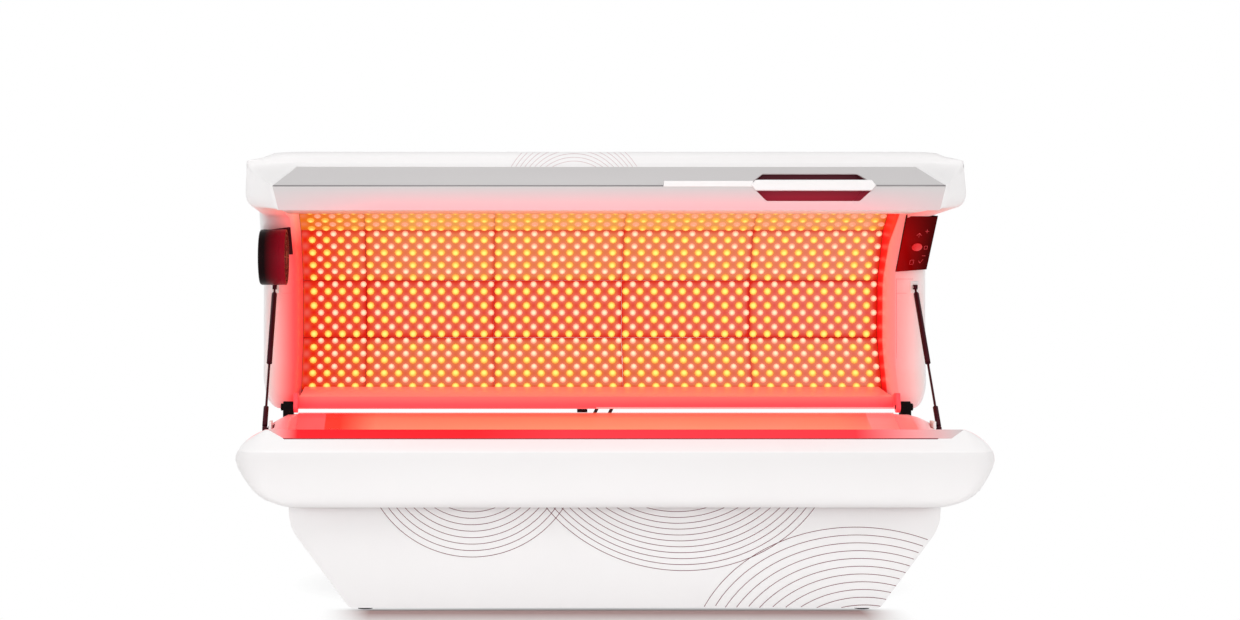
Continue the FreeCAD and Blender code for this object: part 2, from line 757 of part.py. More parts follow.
def hinge_pin():
    outer = HINGE_BLOCK_IN + HINGE_BLOCK
    shank = rod_x(HINGE_BLOCK_IN - HINGE_GAP - HINGE_PLATE, outer, HINGE_Y, HINGE_Z, PIN_RADIUS)
    head = rod_x(outer, outer + PIN_HEAD, HINGE_Y, HINGE_Z, PIN_HEAD_RADIUS)
    return shank.fuse(head).removeSplitter()


def strut_low_bracket():
    outer = STRUT_X - EYE / 2 - STUD_EAR - STUD_FLANGE - CLEAR
    top = HINGE_Z + STRUT_LOW_Z + BRACKET_RISE
    return post_bracket(outer - BRACKET, outer, top, HINGE_Y + STRUT_LOW_Y, BRACKET_WIDE)


# Canopy, drawn from the hinge axis

def hood_outline(reach):
    """Outer skin of the canopy; reach carries its two front edges past the opening."""
    slope = (HEEL_Z - LIP_Z) / (HEEL_Y - LIP_Y)
    return [(HOOD_FRONT, VISOR_Z - reach), (HOOD_FRONT, HOOD_TOP, CROWN_ROUND),
            (HOOD_BACK, HOOD_TOP - HOOD_FALL, BACK_ROUND), (HOOD_BACK, KNEE_Z, KNEE_ROUND),
            (HEEL_Y, HEEL_Z, HEEL_ROUND), (LIP_Y - reach, LIP_Z - reach * slope)]


def front_space():
    """Open space in front of the canopy's end flanges."""
    far = HOOD_FRONT - REACH
    return [(LIP_Y, LIP_Z), (SILL_Y, SILL_Z), (FLANGE_Y, FLANGE_LOW, FLANGE_LOW_ROUND),
            (FLANGE_Y, FLANGE_HIGH, FLANGE_HIGH_ROUND), (SLANT_Y, SLANT_Z, SLANT_ROUND),
            (HOOD_FRONT, VISOR_Z), (far, VISOR_Z), (far, LIP_Z)]


def rounded_prism(points, half, radius):
    """Prism along X with its end edges rounded, save the edge across the opening."""
    solid = prism_x(points, -half, half)
    edges = []
    for edge in solid.Edges:
        middle = edge.CenterOfMass
        across = middle.y < LIP_Y and 0 < middle.z < VISOR_Z - REACH
        if edge.BoundBox.XLength < NEAR and half - abs(middle.x) < NEAR and not across:
            edges.append(edge)
    return solid.makeFillet(radius, edges)


def cavity(gap, x0, x1):
    """Space inside the canopy skin, gap away from it, between two places along X."""
    return prism_x(inset(hood_outline(REACH), SHELL + gap), x0, x1)


def canopy_shell():
    solid = rounded_prism(hood_outline(0.0), CANOPY_HALF, END_ROUND)
    hollow = rounded_prism(inset(hood_outline(REACH), SHELL), CANOPY_HALF - SHELL, END_ROUND - SHELL)
    solid = solid.cut(prism_x(front_space(), -CANOPY_HALF, CANOPY_HALF)).cut(hollow)
    return solid.cut([hose.translated(vector(0, -HINGE_Y, -HINGE_Z)) for hose in cable_hoses(CLEAR)])


def end_flange():
    """Band that closes the front of the right end of the canopy."""
    x0 = FLANGE_IN
    x1 = CANOPY_HALF - SHELL - FLANGE_SIDE_GAP
    band = prism_x(inset(front_space(), -FLANGE), x0, x1).cut(prism_x(front_space(), x0, x1))
    skin = inset(hood_outline(REACH), SHELL + CLEAR)
    inside = rounded_prism(skin, CANOPY_HALF - SHELL - CLEAR, END_ROUND - SHELL)
    return band.common(inside)


def tray_back():
    """Everything in front of the lamp tray's back, as an outline in Y and Z."""
    corners = chain(ARC_Y, ARC_Z, LAMP_FACE + BOARD + TRAY, FACET_LOW, FACET_STEP, FACETS)
    return corners + [(HOOD_FRONT - REACH, corners[-1][1]), (HOOD_FRONT - REACH, corners[0][1])]


def frame_tubes(side):
    """Square bars of half width side along the canopy frame's tubes, from hoop to hoop."""
    half = FLANGE_IN + CLEAR + HOOP
    bars = []
    for angle in FRAME_ANGLES:
        y = ARC_Y + FRAME_RADIUS * math.cos(math.radians(angle))
        z = ARC_Z + FRAME_RADIUS * math.sin(math.radians(angle))
        bar = box(-half, half, -side, side, -side, side)
        bars.append(bar.rotated(vector(0, 0, 0), vector(1, 0, 0), angle).translated(vector(0, y, z)))
    y = BEAM_Y + FRAME_TUBE / 2
    z = BEAM_Z + FRAME_TUBE / 2
    bars.append(box(-half, half, y - side, y + side, z - side, z + side))
    return bars


def canopy_frame():
    """Welded frame: an end hoop at each side, joined by four tubes."""
    x0 = FLANGE_IN + CLEAR
    hoop = cavity(CLEAR, x0, x0 + HOOP).cut(prism_x(inset(front_space(), -FLANGE - CLEAR), x0, x0 + HOOP))
    pieces = [hoop, mirrored(hoop)] + frame_tubes(FRAME_TUBE / 2)
    frame = pieces[0].multiFuse(pieces[1:]).removeSplitter()
    return frame.cut(frame_tubes(FRAME_TUBE / 2 - FRAME_WALL))


def canopy_ribs():
    """Saddles between the skin and the back of the lamp tray."""
    ribs = []
    for x in [RIB_PITCH * i for i in range(-2, 3)]:
        x0 = x - RIB / 2
        x1 = x + RIB / 2
        rib = cavity(CLEAR, x0, x1).cut(prism_x(tray_back(), x0, x1))
        rib = rib.common(box(x0, x1, ARC_Y, HOOD_BACK, ARC_Z - RIB_DROP, HOOD_TOP))
        ribs.append(rib.cut(frame_tubes(FRAME_TUBE / 2 + CLEAR)))
    return ribs


def lamp_tray():
    near = LAMP_FACE + BOARD
    band = facet_band(ARC_Y, ARC_Z, near, near + TRAY, FACET_LOW, FACET_STEP, FACETS)
    return prism_x(band, -TRAY_HALF, TRAY_HALF)


def lamp_boards(row):
    """One row of circuit boards: a short board at the left, then long ones."""
    near = chain(ARC_Y, ARC_Z, LAMP_FACE, FACET_LOW, FACET_STEP, FACETS)
    far = chain(ARC_Y, ARC_Z, LAMP_FACE + BOARD, FACET_LOW, FACET_STEP, FACETS)
    trim = BOARD_TRIM
    quad = [blend(near[row], near[row + 1], trim), blend(near[row], near[row + 1], 1 - trim),
            blend(far[row], far[row + 1], 1 - trim), blend(far[row], far[row + 1], trim)]
    boards = []
    x = BOARD_LEFT
    unit = (TRAY_HALF - BOARD_LEFT) / sum(BOARD_PARTS)
    for parts in BOARD_PARTS:
        wide = parts * unit
        boards.append(prism_x(quad, x, x + wide - BOARD_GAP))
        x += wide
    return boards


def lamp_drivers():
    """Driver boxes on the back of the lamp tray."""
    near = LAMP_FACE + BOARD + TRAY
    long = DRIVER_LONG / 2
    wide = DRIVER_WIDE / 2
    second_facet = FACET_LOW + 1.5 * FACET_STEP
    drivers = []
    for x in [RIB_PITCH * (i - 1.5) for i in range(4)]:
        driver = box(x - long, x + long, near, near + DRIVER_HIGH, -wide, wide)
        driver = driver.rotated(vector(0, 0, 0), vector(1, 0, 0), second_facet)
        drivers.append(driver.translated(vector(0, ARC_Y, ARC_Z)))
    return drivers


def trough_end():
    """Right end wall between the lamps and the flange, leaning a little outwards."""
    back = ARC_Y + LAMP_FACE
    lean = math.degrees(math.atan2(FLANGE_IN - TROUGH_BACK_X, back - FLANGE_Y))
    wall = Part.makeBox(SHEET, 2 * HOOD_TOP, HOOD_TOP, vector(0, -HOOD_TOP, 0))
    wall.rotate(vector(0, 0, 0), vector(0, 0, 1), lean)
    wall.translate(vector(TROUGH_BACK_X, back, 0))
    near = LAMP_FACE + BOARD + TRAY
    corners = chain(ARC_Y, ARC_Z, near, FACET_LOW, FACET_STEP, FACETS)
    region = corners + [(SLANT_Y, corners[-1][1]), (SLANT_Y, corners[0][1])]
    x0 = TROUGH_BACK_X - SHELL
    inside = prism_x(region, x0, FLANGE_IN)
    return wall.common(inside).cut(prism_x(front_space(), x0, FLANGE_IN))


def canopy_sill():
    """Shelf under the lamps with a front lip."""
    half = HINGE_BLOCK_IN - HINGE_GAP - HINGE_PLATE - CLEAR
    back = ARC_Y + LAMP_FACE * math.cos(math.radians(FACET_LOW + FACET_STEP / 2)) - SILL_BACK_GAP
    low = LIP_Z + SHELL + CLEAR
    points = [(back, SILL_BACK_Z), (SILL_Y, SILL_Z), (LIP_Y + SHEET, low), (LIP_Y + 2 * SHEET, low),
              (SILL_Y + SHEET, SILL_Z - SHEET), (back, SILL_BACK_Z - SHEET)]
    return prism_x(points, -half, half)


def hinge_plate():
    """Right canopy hinge plate: an eye on the pin and a tail to the frame beam."""
    x1 = HINGE_BLOCK_IN - HINGE_GAP
    x0 = x1 - HINGE_PLATE
    rise = BEAM_Z + HINGE_PLATE_RISE
    tail = prism_x([(0, BEAM_Z), (BEAM_Y, BEAM_Z), (BEAM_Y, BEAM_Z + FRAME_TUBE), (HINGE_RADIUS, rise),
                    (-HINGE_PLATE_TOP, rise), (-HINGE_PLATE_LOW, BEAM_Z)], x0, x1)
    plate = tail.fuse(rod_x(x0, x1, 0, 0, HINGE_RADIUS)).removeSplitter()
    return plate.cut(rod_x(x0, x1, 0, 0, PIN_RADIUS + RUNNING))


def nose_section():
    """Section of the visor nose behind the silver trim."""
    face = math.hypot(TRIM_TOP_Y - RIDGE_Y, TRIM_TOP_Z - RIDGE_Z)
    top = blend((TRIM_TOP_Y, TRIM_TOP_Z), (RIDGE_Y, RIDGE_Z), -NOSE_OVERHANG / face)
    return [(HOOD_FRONT, top[1]), top, (RIDGE_Y, RIDGE_Z), (RIDGE_Y, TRIM_LOW_Z), (HOOD_FRONT, TRIM_LOW_Z)]


def nose_plan():
    """The nose from above: its ends run back outwards from the ridge."""
    right = [(TRIM_RIDGE_HALF + NOSE_OVERHANG, RIDGE_Y), (NOSE_BACK_HALF, HOOD_FRONT)]
    return right + [(-x, y) for x, y in reversed(right)]


def handle_outline(gap):
    """Six-sided handle opening in X and Z, made smaller by gap."""
    low_left = HANDLE_LEFT + HANDLE_SLOPE
    low_right = HANDLE_RIGHT - HANDLE_SLOPE
    low = RIDGE_Z - HANDLE_DROP
    high = RIDGE_Z + HANDLE_RISE
    points = [(HANDLE_LEFT, RIDGE_Z), (low_left, low), (low_right, low),
              (HANDLE_RIGHT, RIDGE_Z), (low_right, high), (low_left, high)]
    return inset(points, gap) if gap else points


def trim_face():
    """The silver trim from the front, in X and Z."""
    right = [(TRIM_LOW_HALF, TRIM_LOW_Z), (TRIM_RIDGE_HALF, RIDGE_Z), (TRIM_TOP_HALF, TRIM_TOP_Z)]
    return right + [(-x, z) for x, z in reversed(right)]


def nose_skin(depth):
    """The nose section set in by depth, with its open back left where it meets the canopy."""
    points = [list(point) for point in inset(nose_section(), depth)]
    points[0][0] = HOOD_FRONT
    points[-1][0] = HOOD_FRONT
    return points


def visor_nose():
    """Hollow white nose, open at the back, under the trim and round the handle cup."""
    seat = SHEET + CLEAR
    top = TRIM_TOP_Z + HANDLE_RISE
    solid = prism_x(nose_skin(seat), -NOSE_BACK_HALF, NOSE_BACK_HALF)
    solid = solid.common(prism_z(nose_plan(), TRIM_LOW_Z, top))
    half = NOSE_BACK_HALF - NOSE_WALL
    inside = prism_z(inset(nose_plan(), NOSE_WALL), TRIM_LOW_Z, top)
    inside = inside.fuse(box(-half, half, HOOD_FRONT - NOSE_WALL, HOOD_FRONT, TRIM_LOW_Z, top))
    hollow = prism_x(nose_skin(seat + NOSE_WALL), -NOSE_BACK_HALF, NOSE_BACK_HALF).common(inside)
    opening = prism_y(handle_outline(-CLEAR), RIDGE_Y, RIDGE_Y + CUP_DEPTH)
    return solid.cut(hollow).cut(opening)


def front_trim():
    """Two-faced silver trim with a short return below and the handle opening."""
    half = TRIM_RIDGE_HALF
    skin = prism_x(nose_skin(0.0), -half, half).cut(prism_x(nose_skin(SHEET), -half, half))
    trim = skin.common(prism_y(trim_face(), RIDGE_Y, HOOD_FRONT))
    trim = trim.cut(box(-half, half, RIDGE_Y + TRIM_RETURN, HOOD_FRONT, TRIM_LOW_Z, TRIM_LOW_Z + SHEET))
    return trim.cut(prism_y(handle_outline(0.0), RIDGE_Y - CLEAR, RIDGE_Y + CUP_DEPTH))


def handle_cup():
    outer = prism_y(handle_outline(CLEAR), RIDGE_Y, RIDGE_Y + CUP_DEPTH)
    inner = prism_y(handle_outline(CLEAR + CUP_WALL), RIDGE_Y - CLEAR, RIDGE_Y + CUP_DEPTH - CUP_WALL)
    behind = inset(nose_section(), SHEET)
    return outer.cut(inner).common(prism_x(behind, HANDLE_LEFT, HANDLE_RIGHT))


def grip_bar():
    """White bar across the handle opening, standing on two posts."""
    y0 = RIDGE_Y - GRIP_PROUD
    y1 = y0 + GRIP_DEPTH
    bar = box(HANDLE_LEFT, HANDLE_RIGHT, y0, y1, RIDGE_Z - GRIP_HEIGHT / 2, RIDGE_Z + GRIP_HEIGHT / 2)
    bar = bar.common(prism_y(handle_outline(CLEAR + CUP_WALL + CLEAR), y0, y1))
    floor = RIDGE_Y + CUP_DEPTH - CUP_WALL
    posts = [rod_y(y0 + GRIP_PROUD, floor, x, RIDGE_Z, GRIP_POST)
             for x in (HANDLE_LEFT + GRIP_POST_INSET, HANDLE_RIGHT - GRIP_POST_INSET)]
    return bar.fuse(posts).removeSplitter()


def light_strip():
    """Thin light strip along the ridge, left of the handle."""
    strip = box(LIGHT_LEFT, HANDLE_LEFT - CLEAR, RIDGE_Y - LIGHT_PROUD, RIDGE_Y + LIGHT_HEIGHT,
                RIDGE_Z - LIGHT_HEIGHT / 2, RIDGE_Z + LIGHT_HEIGHT / 2)
    return strip.cut(prism_x(nose_section(), LIGHT_LEFT, HANDLE_LEFT))


def visor_liner():
    """Underside of the visor from the trim back to the lamps."""
    corners = chain(ARC_Y, ARC_Z, LAMP_FACE, FACET_LOW, FACET_STEP, FACETS)
    end_y, end_z = corners[-1]
    low = VISOR_Z - 2 * SHEET
    front = HOOD_FRONT + SHELL + CLEAR
    bend = SLANT_Y - LINER_BEND
    points = [(front, low), (bend, low), (end_y - SHEET, end_z - SHEET), (end_y - 2 * SHEET, end_z),
              (bend - SHEET, low + SHEET), (front, low + SHEET)]
    return prism_x(points, -FLANGE_IN + CLEAR, FLANGE_IN - CLEAR)


# Gas struts, drawn from the hinge axis

def strut_length():
    return math.hypot(STRUT_TOP_Y - STRUT_LOW_Y, STRUT_TOP_Z - STRUT_LOW_Z)


def along_strut(shape):
    """Turn a piece built down -Z from the top stud so that it points at the lower stud."""
    angle = math.degrees(math.atan2(STRUT_TOP_Y - STRUT_LOW_Y, STRUT_TOP_Z - STRUT_LOW_Z))
    turned = shape.rotated(vector(0, 0, 0), vector(1, 0, 0), -angle)
    return turned.translated(vector(STRUT_X, STRUT_TOP_Y, STRUT_TOP_Z))


def strut_stud():
    """Foot plate on the flange with an ear and the upper stud."""
    near = STRUT_X - EYE / 2 - CLEAR
    far = STRUT_X + EYE / 2 + CLEAR
    foot = box(near - STUD_EAR, far + STUD_EAR, FLANGE_Y - STUD_FOOT, FLANGE_Y,
               STRUT_TOP_Z - STUD_FOOT_HALF, STRUT_TOP_Z + STUD_FOOT_HALF)
    ear = box(far, far + STUD_EAR, STRUT_TOP_Y - EYE_RADIUS, FLANGE_Y,
              STRUT_TOP_Z - EYE_RADIUS, STRUT_TOP_Z + EYE_RADIUS)
    stud = rod_x(near, far, STRUT_TOP_Y, STRUT_TOP_Z, STUD_RADIUS)
    return foot.fuse([ear, stud]).removeSplitter()


def strut_cylinder():
    end = STRUT_NECK + STRUT_BODY
    eye = rod_x(-EYE / 2, EYE / 2, 0, 0, EYE_RADIUS)
    neck = rod_z(-STRUT_NECK, 0, 0, 0, NECK_RADIUS)
    taper = Part.makeCone(STRUT_RADIUS, NECK_RADIUS, STRUT_TAPER, vector(0, 0, -STRUT_NECK))
    body = rod_z(-end, -STRUT_NECK, 0, 0, STRUT_RADIUS)
    solid = eye.fuse([neck, taper, body]).removeSplitter()
    solid = solid.cut(rod_x(-EYE, EYE, 0, 0, STUD_RADIUS + RUNNING))
    return along_strut(solid.cut(rod_z(-end, -STRUT_NECK - STRUT_END_WALL, 0, 0, ROD_RADIUS + RUNNING)))


def strut_rod():
    """Rod with its end sleeve and the lower stud, which faces the bracket plate."""
    low = strut_length()
    base = SLEEVE_GAP - low
    rod = rod_z(base + SLEEVE / 2, ROD_INSIDE - STRUT_NECK - STRUT_BODY, 0, 0, ROD_RADIUS)
    sleeve = rod_z(base, base + SLEEVE, 0, 0, SLEEVE_RADIUS)
    neck = rod_z(-low, base, 0, 0, NECK_RADIUS)
    eye = rod_x(-EYE / 2, EYE / 2, 0, -low, EYE_RADIUS)
    stud = rod_x(-EYE / 2 - STUD_EAR, -EYE / 2, 0, -low, STUD_RADIUS)
    flange = rod_x(-EYE / 2 - STUD_EAR - STUD_FLANGE, -EYE / 2 - STUD_EAR, 0, -low, STUD_FLANGE_RADIUS)
    return along_strut(rod.fuse([sleeve, neck, eye, stud, flange]).removeSplitter())


# Control panel and body fan, drawn from the hinge axis

def panel_direction():
    """Unit vector down the panel's face, and the one that points out of it."""
    down = vector(0, PANEL_LOW_Y - PANEL_TOP_Y, PANEL_LOW_Z - PANEL_TOP_Z).normalize()
    return down, vector(0, down.z, -down.y)


def panel_plate(out0, out1, margin, x0, x1):
    """Slab along the panel's face between two distances out of it."""
    down, out = panel_direction()
    top = vector(0, PANEL_TOP_Y, PANEL_TOP_Z) + down * margin
    low = vector(0, PANEL_LOW_Y, PANEL_LOW_Z) - down * margin
    corners = [top + out * out0, top + out * out1, low + out * out1, low + out * out0]
    return prism_x([(p.y, p.z) for p in corners], x0, x1)


def panel_middle():
    y = (PANEL_TOP_Y + PANEL_LOW_Y) / 2
    z = (PANEL_TOP_Z + PANEL_LOW_Z) / 2
    return vector(PANEL_IN + PANEL_WIDE / 2, y, z)


def button_hole(radius):
    _, out = panel_direction()
    return Part.makeCylinder(radius, 4 * BUTTON_LONG, panel_middle() - out * 2 * BUTTON_LONG, out)


def panel_housing():
    slab = panel_plate(-FLANGE_HIGH_ROUND, 0, 0, PANEL_IN, PANEL_IN + PANEL_WIDE)
    housing = slab.common(prism_x(inset(front_space(), CLEAR / 3), PANEL_IN, PANEL_IN + PANEL_WIDE))
    return housing.cut(button_hole(BUTTON_RADIUS + CLEAR))


def panel_glass():
    x0 = PANEL_IN + GLASS_MARGIN
    x1 = PANEL_IN + PANEL_WIDE - GLASS_MARGIN
    return panel_plate(0, GLASS, GLASS_MARGIN, x0, x1).cut(button_hole(BUTTON_RADIUS + CLEAR))


def start_button():
    _, out = panel_direction()
    inner = panel_middle() + out * (GLASS + BUTTON_PROUD - BUTTON_LONG)
    return Part.makeCylinder(BUTTON_RADIUS, BUTTON_LONG, inner, out)


def fan_bracket():
    """Dark plate on the left slant of the canopy with the post that holds the fan."""
    x0 = -PANEL_IN - PANEL_WIDE
    x1 = -PANEL_IN
    space = inset(front_space(), CLEAR / 3)
    slab = prism_x(space, x0, x1).cut(prism_x(inset(front_space(), FAN_PLATE), x0, x1))
    slab = slab.common(panel_plate(-FLANGE_HIGH_ROUND, FLANGE_HIGH_ROUND, 0, x0, x1))
    toward = math.degrees(math.atan2(-SLANT_RUN, SLANT_FALL))
    post = box(-FAN_POST / 2, FAN_POST / 2, -FAN_POST / 2, FAN_POST / 2, 0, FAN_STAND + FAN_PLATE)
    post = post.rotated(vector(0, 0, 0), vector(1, 0, 0), -90 - toward)
    post = post.translated(vector(-FAN_OUT + FAN_LONG / 2, FAN_Y, FAN_Z)).common(prism_x(space, x0, x1))
    return slab.fuse(post).removeSplitter().cut(rod_x(-CANOPY_HALF, -FLANGE_IN, FAN_Y, FAN_Z, FAN_RADIUS))


def fan_drum():
    x0 = -FAN_OUT
    x1 = x0 + FAN_LONG
    drum = rod_x(x0, x1, FAN_Y, FAN_Z, FAN_RADIUS)
    drum = drum.cut(rod_x(x0 + FAN_WALL, x1, FAN_Y, FAN_Z, FAN_RADIUS - FAN_WALL))
    hole = rod_x(x0, x0 + FAN_WALL, FAN_Y, FAN_Z + FAN_HOLE_RING, FAN_HOLE_RADIUS)
    turn = 360.0 / FAN_HOLES
    holes = [hole.rotated(vector(0, FAN_Y, FAN_Z), vector(1, 0, 0), turn * i) for i in range(FAN_HOLES)]
    return drum.cut(holes)


def fan_motor():
    x0 = -FAN_OUT + FAN_WALL
    motor = rod_x(x0, x0 + MOTOR_LONG, FAN_Y, FAN_Z, MOTOR_RADIUS)
    shaft = rod_x(x0 + MOTOR_LONG, x0 + MOTOR_LONG + HUB_LONG, FAN_Y, FAN_Z, SHAFT_RADIUS)
    return motor.fuse(shaft).removeSplitter()


def fan_impeller():
    tip = FAN_RADIUS - FAN_WALL - FAN_TIP_GAP
    wheel = rotor(FAN_HUB, tip, WHEEL_LONG, SHAFT_RADIUS + RUNNING, FAN_BLADES)
    return along_x(wheel, -FAN_OUT + FAN_WALL + MOTOR_LONG + CLEAR, FAN_Y, FAN_Z)


def fan_grille():
    guard = grille(FAN_RADIUS - FAN_WALL, FAN_WALL, GUARD_HUB)
    return along_x(guard, -FAN_OUT + FAN_LONG - FAN_WALL, FAN_Y, FAN_Z)


# Base equipment

def base_fan_housing():
    half = BASE_FAN_SIZE / 2
    y0 = PEDESTAL_REAR - PANEL - BASE_FAN_DEEP
    frame = box(BASE_FAN_X - half, BASE_FAN_X + half, y0, y0 + BASE_FAN_DEEP,
                BASE_FAN_Z - half, BASE_FAN_Z + half)
    frame = frame.cut(rod_y(y0, y0 + BASE_FAN_DEEP, BASE_FAN_X, BASE_FAN_Z, BASE_FAN_BORE))
    motor = rod_y(y0, y0 + FAN_WALL, BASE_FAN_X, BASE_FAN_Z, MOTOR_RADIUS)
    shaft = rod_y(y0, y0 + BASE_FAN_DEEP - FAN_WALL, BASE_FAN_X, BASE_FAN_Z, SHAFT_RADIUS)
    reach = BASE_FAN_BORE + FAN_WALL
    arm = box(BASE_FAN_X - reach, BASE_FAN_X + reach, y0, y0 + FAN_WALL,
              BASE_FAN_Z - FAN_WALL, BASE_FAN_Z + FAN_WALL)
    return frame.fuse([motor, shaft, arm]).removeSplitter()


def base_fan_rotor():
    tip = BASE_FAN_BORE - FAN_TIP_GAP
    wheel = rotor(FAN_HUB, tip, BASE_WHEEL_LONG, SHAFT_RADIUS + RUNNING, FAN_BLADES)
    y0 = PEDESTAL_REAR - PANEL - BASE_FAN_DEEP
    return along_y(wheel, BASE_FAN_X, y0 + FAN_WALL + CLEAR, BASE_FAN_Z)


def vent_grille():
    """Slotted plate over the base fan, set into the rear panel."""
    half = BASE_FAN_SIZE / 2 - PANEL - CLEAR
    plate = box(BASE_FAN_X - half, BASE_FAN_X + half, PEDESTAL_REAR - PANEL, PEDESTAL_REAR,
                BASE_FAN_Z - half, BASE_FAN_Z + half)
    slots = []
    pitch = 2 * half / VENT_SLOTS
    side = half - 2 * PANEL
    open_half = pitch * VENT_SHARE
    for i in range(VENT_SLOTS):
        z = BASE_FAN_Z - half + pitch * (i + 0.5)
        slots.append(box(BASE_FAN_X - side, BASE_FAN_X + side, PEDESTAL_REAR - PANEL, PEDESTAL_REAR,
                         z - open_half, z + open_half))
    return plate.cut(slots)


def mains_inlet():
    wide = INLET_WIDE / 2 - CLEAR
    high = INLET_HIGH / 2 - CLEAR
    y0 = PEDESTAL_REAR - INLET_DEEP
    body = box(INLET_X - wide, INLET_X + wide, y0, PEDESTAL_REAR, INLET_Z - high, INLET_Z + high)
    rim = box(INLET_X - wide - PANEL, INLET_X + wide + PANEL, PEDESTAL_REAR, PEDESTAL_REAR + SHEET,
              INLET_Z - high - PANEL, INLET_Z + high + PANEL)
    side = wide * SOCKET_SHARE
    rise = high * SOCKET_SHARE
    floor = PEDESTAL_REAR - INLET_DEEP * SOCKET_SHARE
    socket = box(INLET_X - side, INLET_X + side, floor, PEDESTAL_REAR + SHEET, INLET_Z - rise, INLET_Z + rise)
    return body.fuse(rim).removeSplitter().cut(socket)


def deck_z():
    """Top of the base frame's lower rails, where the equipment deck lies."""
    return FOOT_HEIGHT + PANEL + TUBE


def equipment_deck():
    deck = box(-FOOT_X + TUBE / 2, FOOT_X - TUBE / 2, rail_y(-1), rail_y(1), deck_z(), deck_z() + SHEET)
    side = TUBE / 2 + DECK_GAP
    uprights = [box(-side, side, y - side, y + side, deck_z(), BENCH_FLOOR) for y in (rail_y(-1), rail_y(1))]
    return deck.cut(uprights)


def power_supplies():
    z = deck_z() + SHEET
    y = (PEDESTAL_FRONT + PEDESTAL_REAR) / 2
    long = SUPPLY_LONG / 2
    wide = SUPPLY_WIDE / 2
    places = [SUPPLY_PITCH * i - CONTROLLER_X for i in range(SUPPLY_COUNT)]
    return [box(x - long, x + long, y - wide, y + wide, z, z + SUPPLY_HIGH) for x in places]


def controller():
    z = deck_z() + SHEET
    y = (PEDESTAL_FRONT + PEDESTAL_REAR) / 2
    long = SUPPLY_LONG / 2
    wide = SUPPLY_WIDE / 2
    return box(CONTROLLER_X - long, CONTROLLER_X + long, y - wide, y + wide, z, z + CONTROLLER_HIGH)


# Hoses

def cable_hoses(grow):
    """Leaning hoses from inside the bench to inside the canopy, grown by a clearance."""
    low = BENCH_TOP - BENCH_WALL - HOSE_REST
    high = HINGE_Z + LIP_Z + SHELL + HOSE_REST
    hoses = []
    for x in HOSE_FEET:
        foot = vector(x - HOSE_LEAN, HOSE_Y, low)
        run = vector(2 * HOSE_LEAN, 0, high - low)
        hoses.append(Part.makeCylinder(HOSE_RADIUS + grow, run.Length, foot, run))
    return hoses


def cable_clamp():
    wide = CLAMP_WIDE / 2
    deep = CLAMP_DEEP / 2
    top = BENCH_TOP + CLAMP_HIGH
    return box(CLAMP_X - wide, CLAMP_X + wide, HOSE_Y - deep, HOSE_Y + deep, BENCH_TOP, top)


def main():
    os.makedirs("parts", exist_ok=True)
    save("base_frame", base_frame())
    save("levelling_feet", *[levelling_foot(x, y) for x, y in foot_places()])
    save("pedestal_front_panel", prism_y(pedestal_outline(), PEDESTAL_FRONT, PEDESTAL_FRONT + PANEL))
    save("pedestal_rear_panel", rear_panel())
    save_pair("pedestal_end_panel", pedestal_end())
    save("rear_panel_screws", *panel_screws())
    save("equipment_deck", equipment_deck())
    save("power_supplies", *power_supplies())
    save("controller_box", controller())
    save("base_fan_housing", base_fan_housing())
    save("base_fan_rotor", base_fan_rotor())
    save("rear_vent_grille", vent_grille())
    save("mains_inlet", mains_inlet())
    save("bench_tub", bench_tub())
    save("bed_sheet", bed_sheet())
    save("bed_lamp_tray", bed_tray())
    save("bed_lamp_boards", *bed_boards())
    save("bed_ribs", *bed_ribs())
    save("front_rim_trim", rim_trim())
    save_pair("hinge_block", hinge_block())
    save("hinge_pins", hinge_pin(), mirrored(hinge_pin()))
    save_pair("strut_low_bracket", strut_low_bracket())
    save("cable_hoses", *cable_hoses(0.0))
    save("cable_clamp", cable_clamp())
    save_canopy("canopy_shell", canopy_shell())
    save_pair("canopy_end_flange", end_flange(), save_canopy)
    save_canopy("canopy_frame", canopy_frame())
    save_canopy("canopy_ribs", *canopy_ribs())
    save_canopy("lamp_tray", lamp_tray())
    save_canopy("lamp_boards", *[board for row in range(FACETS) for board in lamp_boards(row)])
    save_canopy("lamp_drivers", *lamp_drivers())
    save_pair("trough_end", trough_end(), save_canopy)
    save_canopy("canopy_sill", canopy_sill())
    save_pair("hinge_plate", hinge_plate(), save_canopy)
    save_canopy("visor_nose", visor_nose())
    save_canopy("visor_liner", visor_liner())
    save_canopy("front_trim", front_trim())
    save_canopy("handle_cup", handle_cup())
    save_canopy("grip_bar", grip_bar())
    save_canopy("light_strip", light_strip())
    save_canopy("strut_studs", strut_stud(), mirrored(strut_stud()))
    save_pair("strut_cylinder", strut_cylinder(), save_canopy)
    save_pair("strut_rod", strut_rod(), save_canopy)
    save_canopy("control_panel_housing", panel_housing())
    save_canopy("control_glass", panel_glass())
    save_canopy("start_button", start_button())
    save_canopy("fan_bracket", fan_bracket())
    save_canopy("fan_drum", fan_drum())
    save_canopy("fan_motor", fan_motor())
    save_canopy("fan_impeller", fan_impeller())
    save_canopy("fan_grille", fan_grille())


main()
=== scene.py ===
import math
from collections import namedtuple

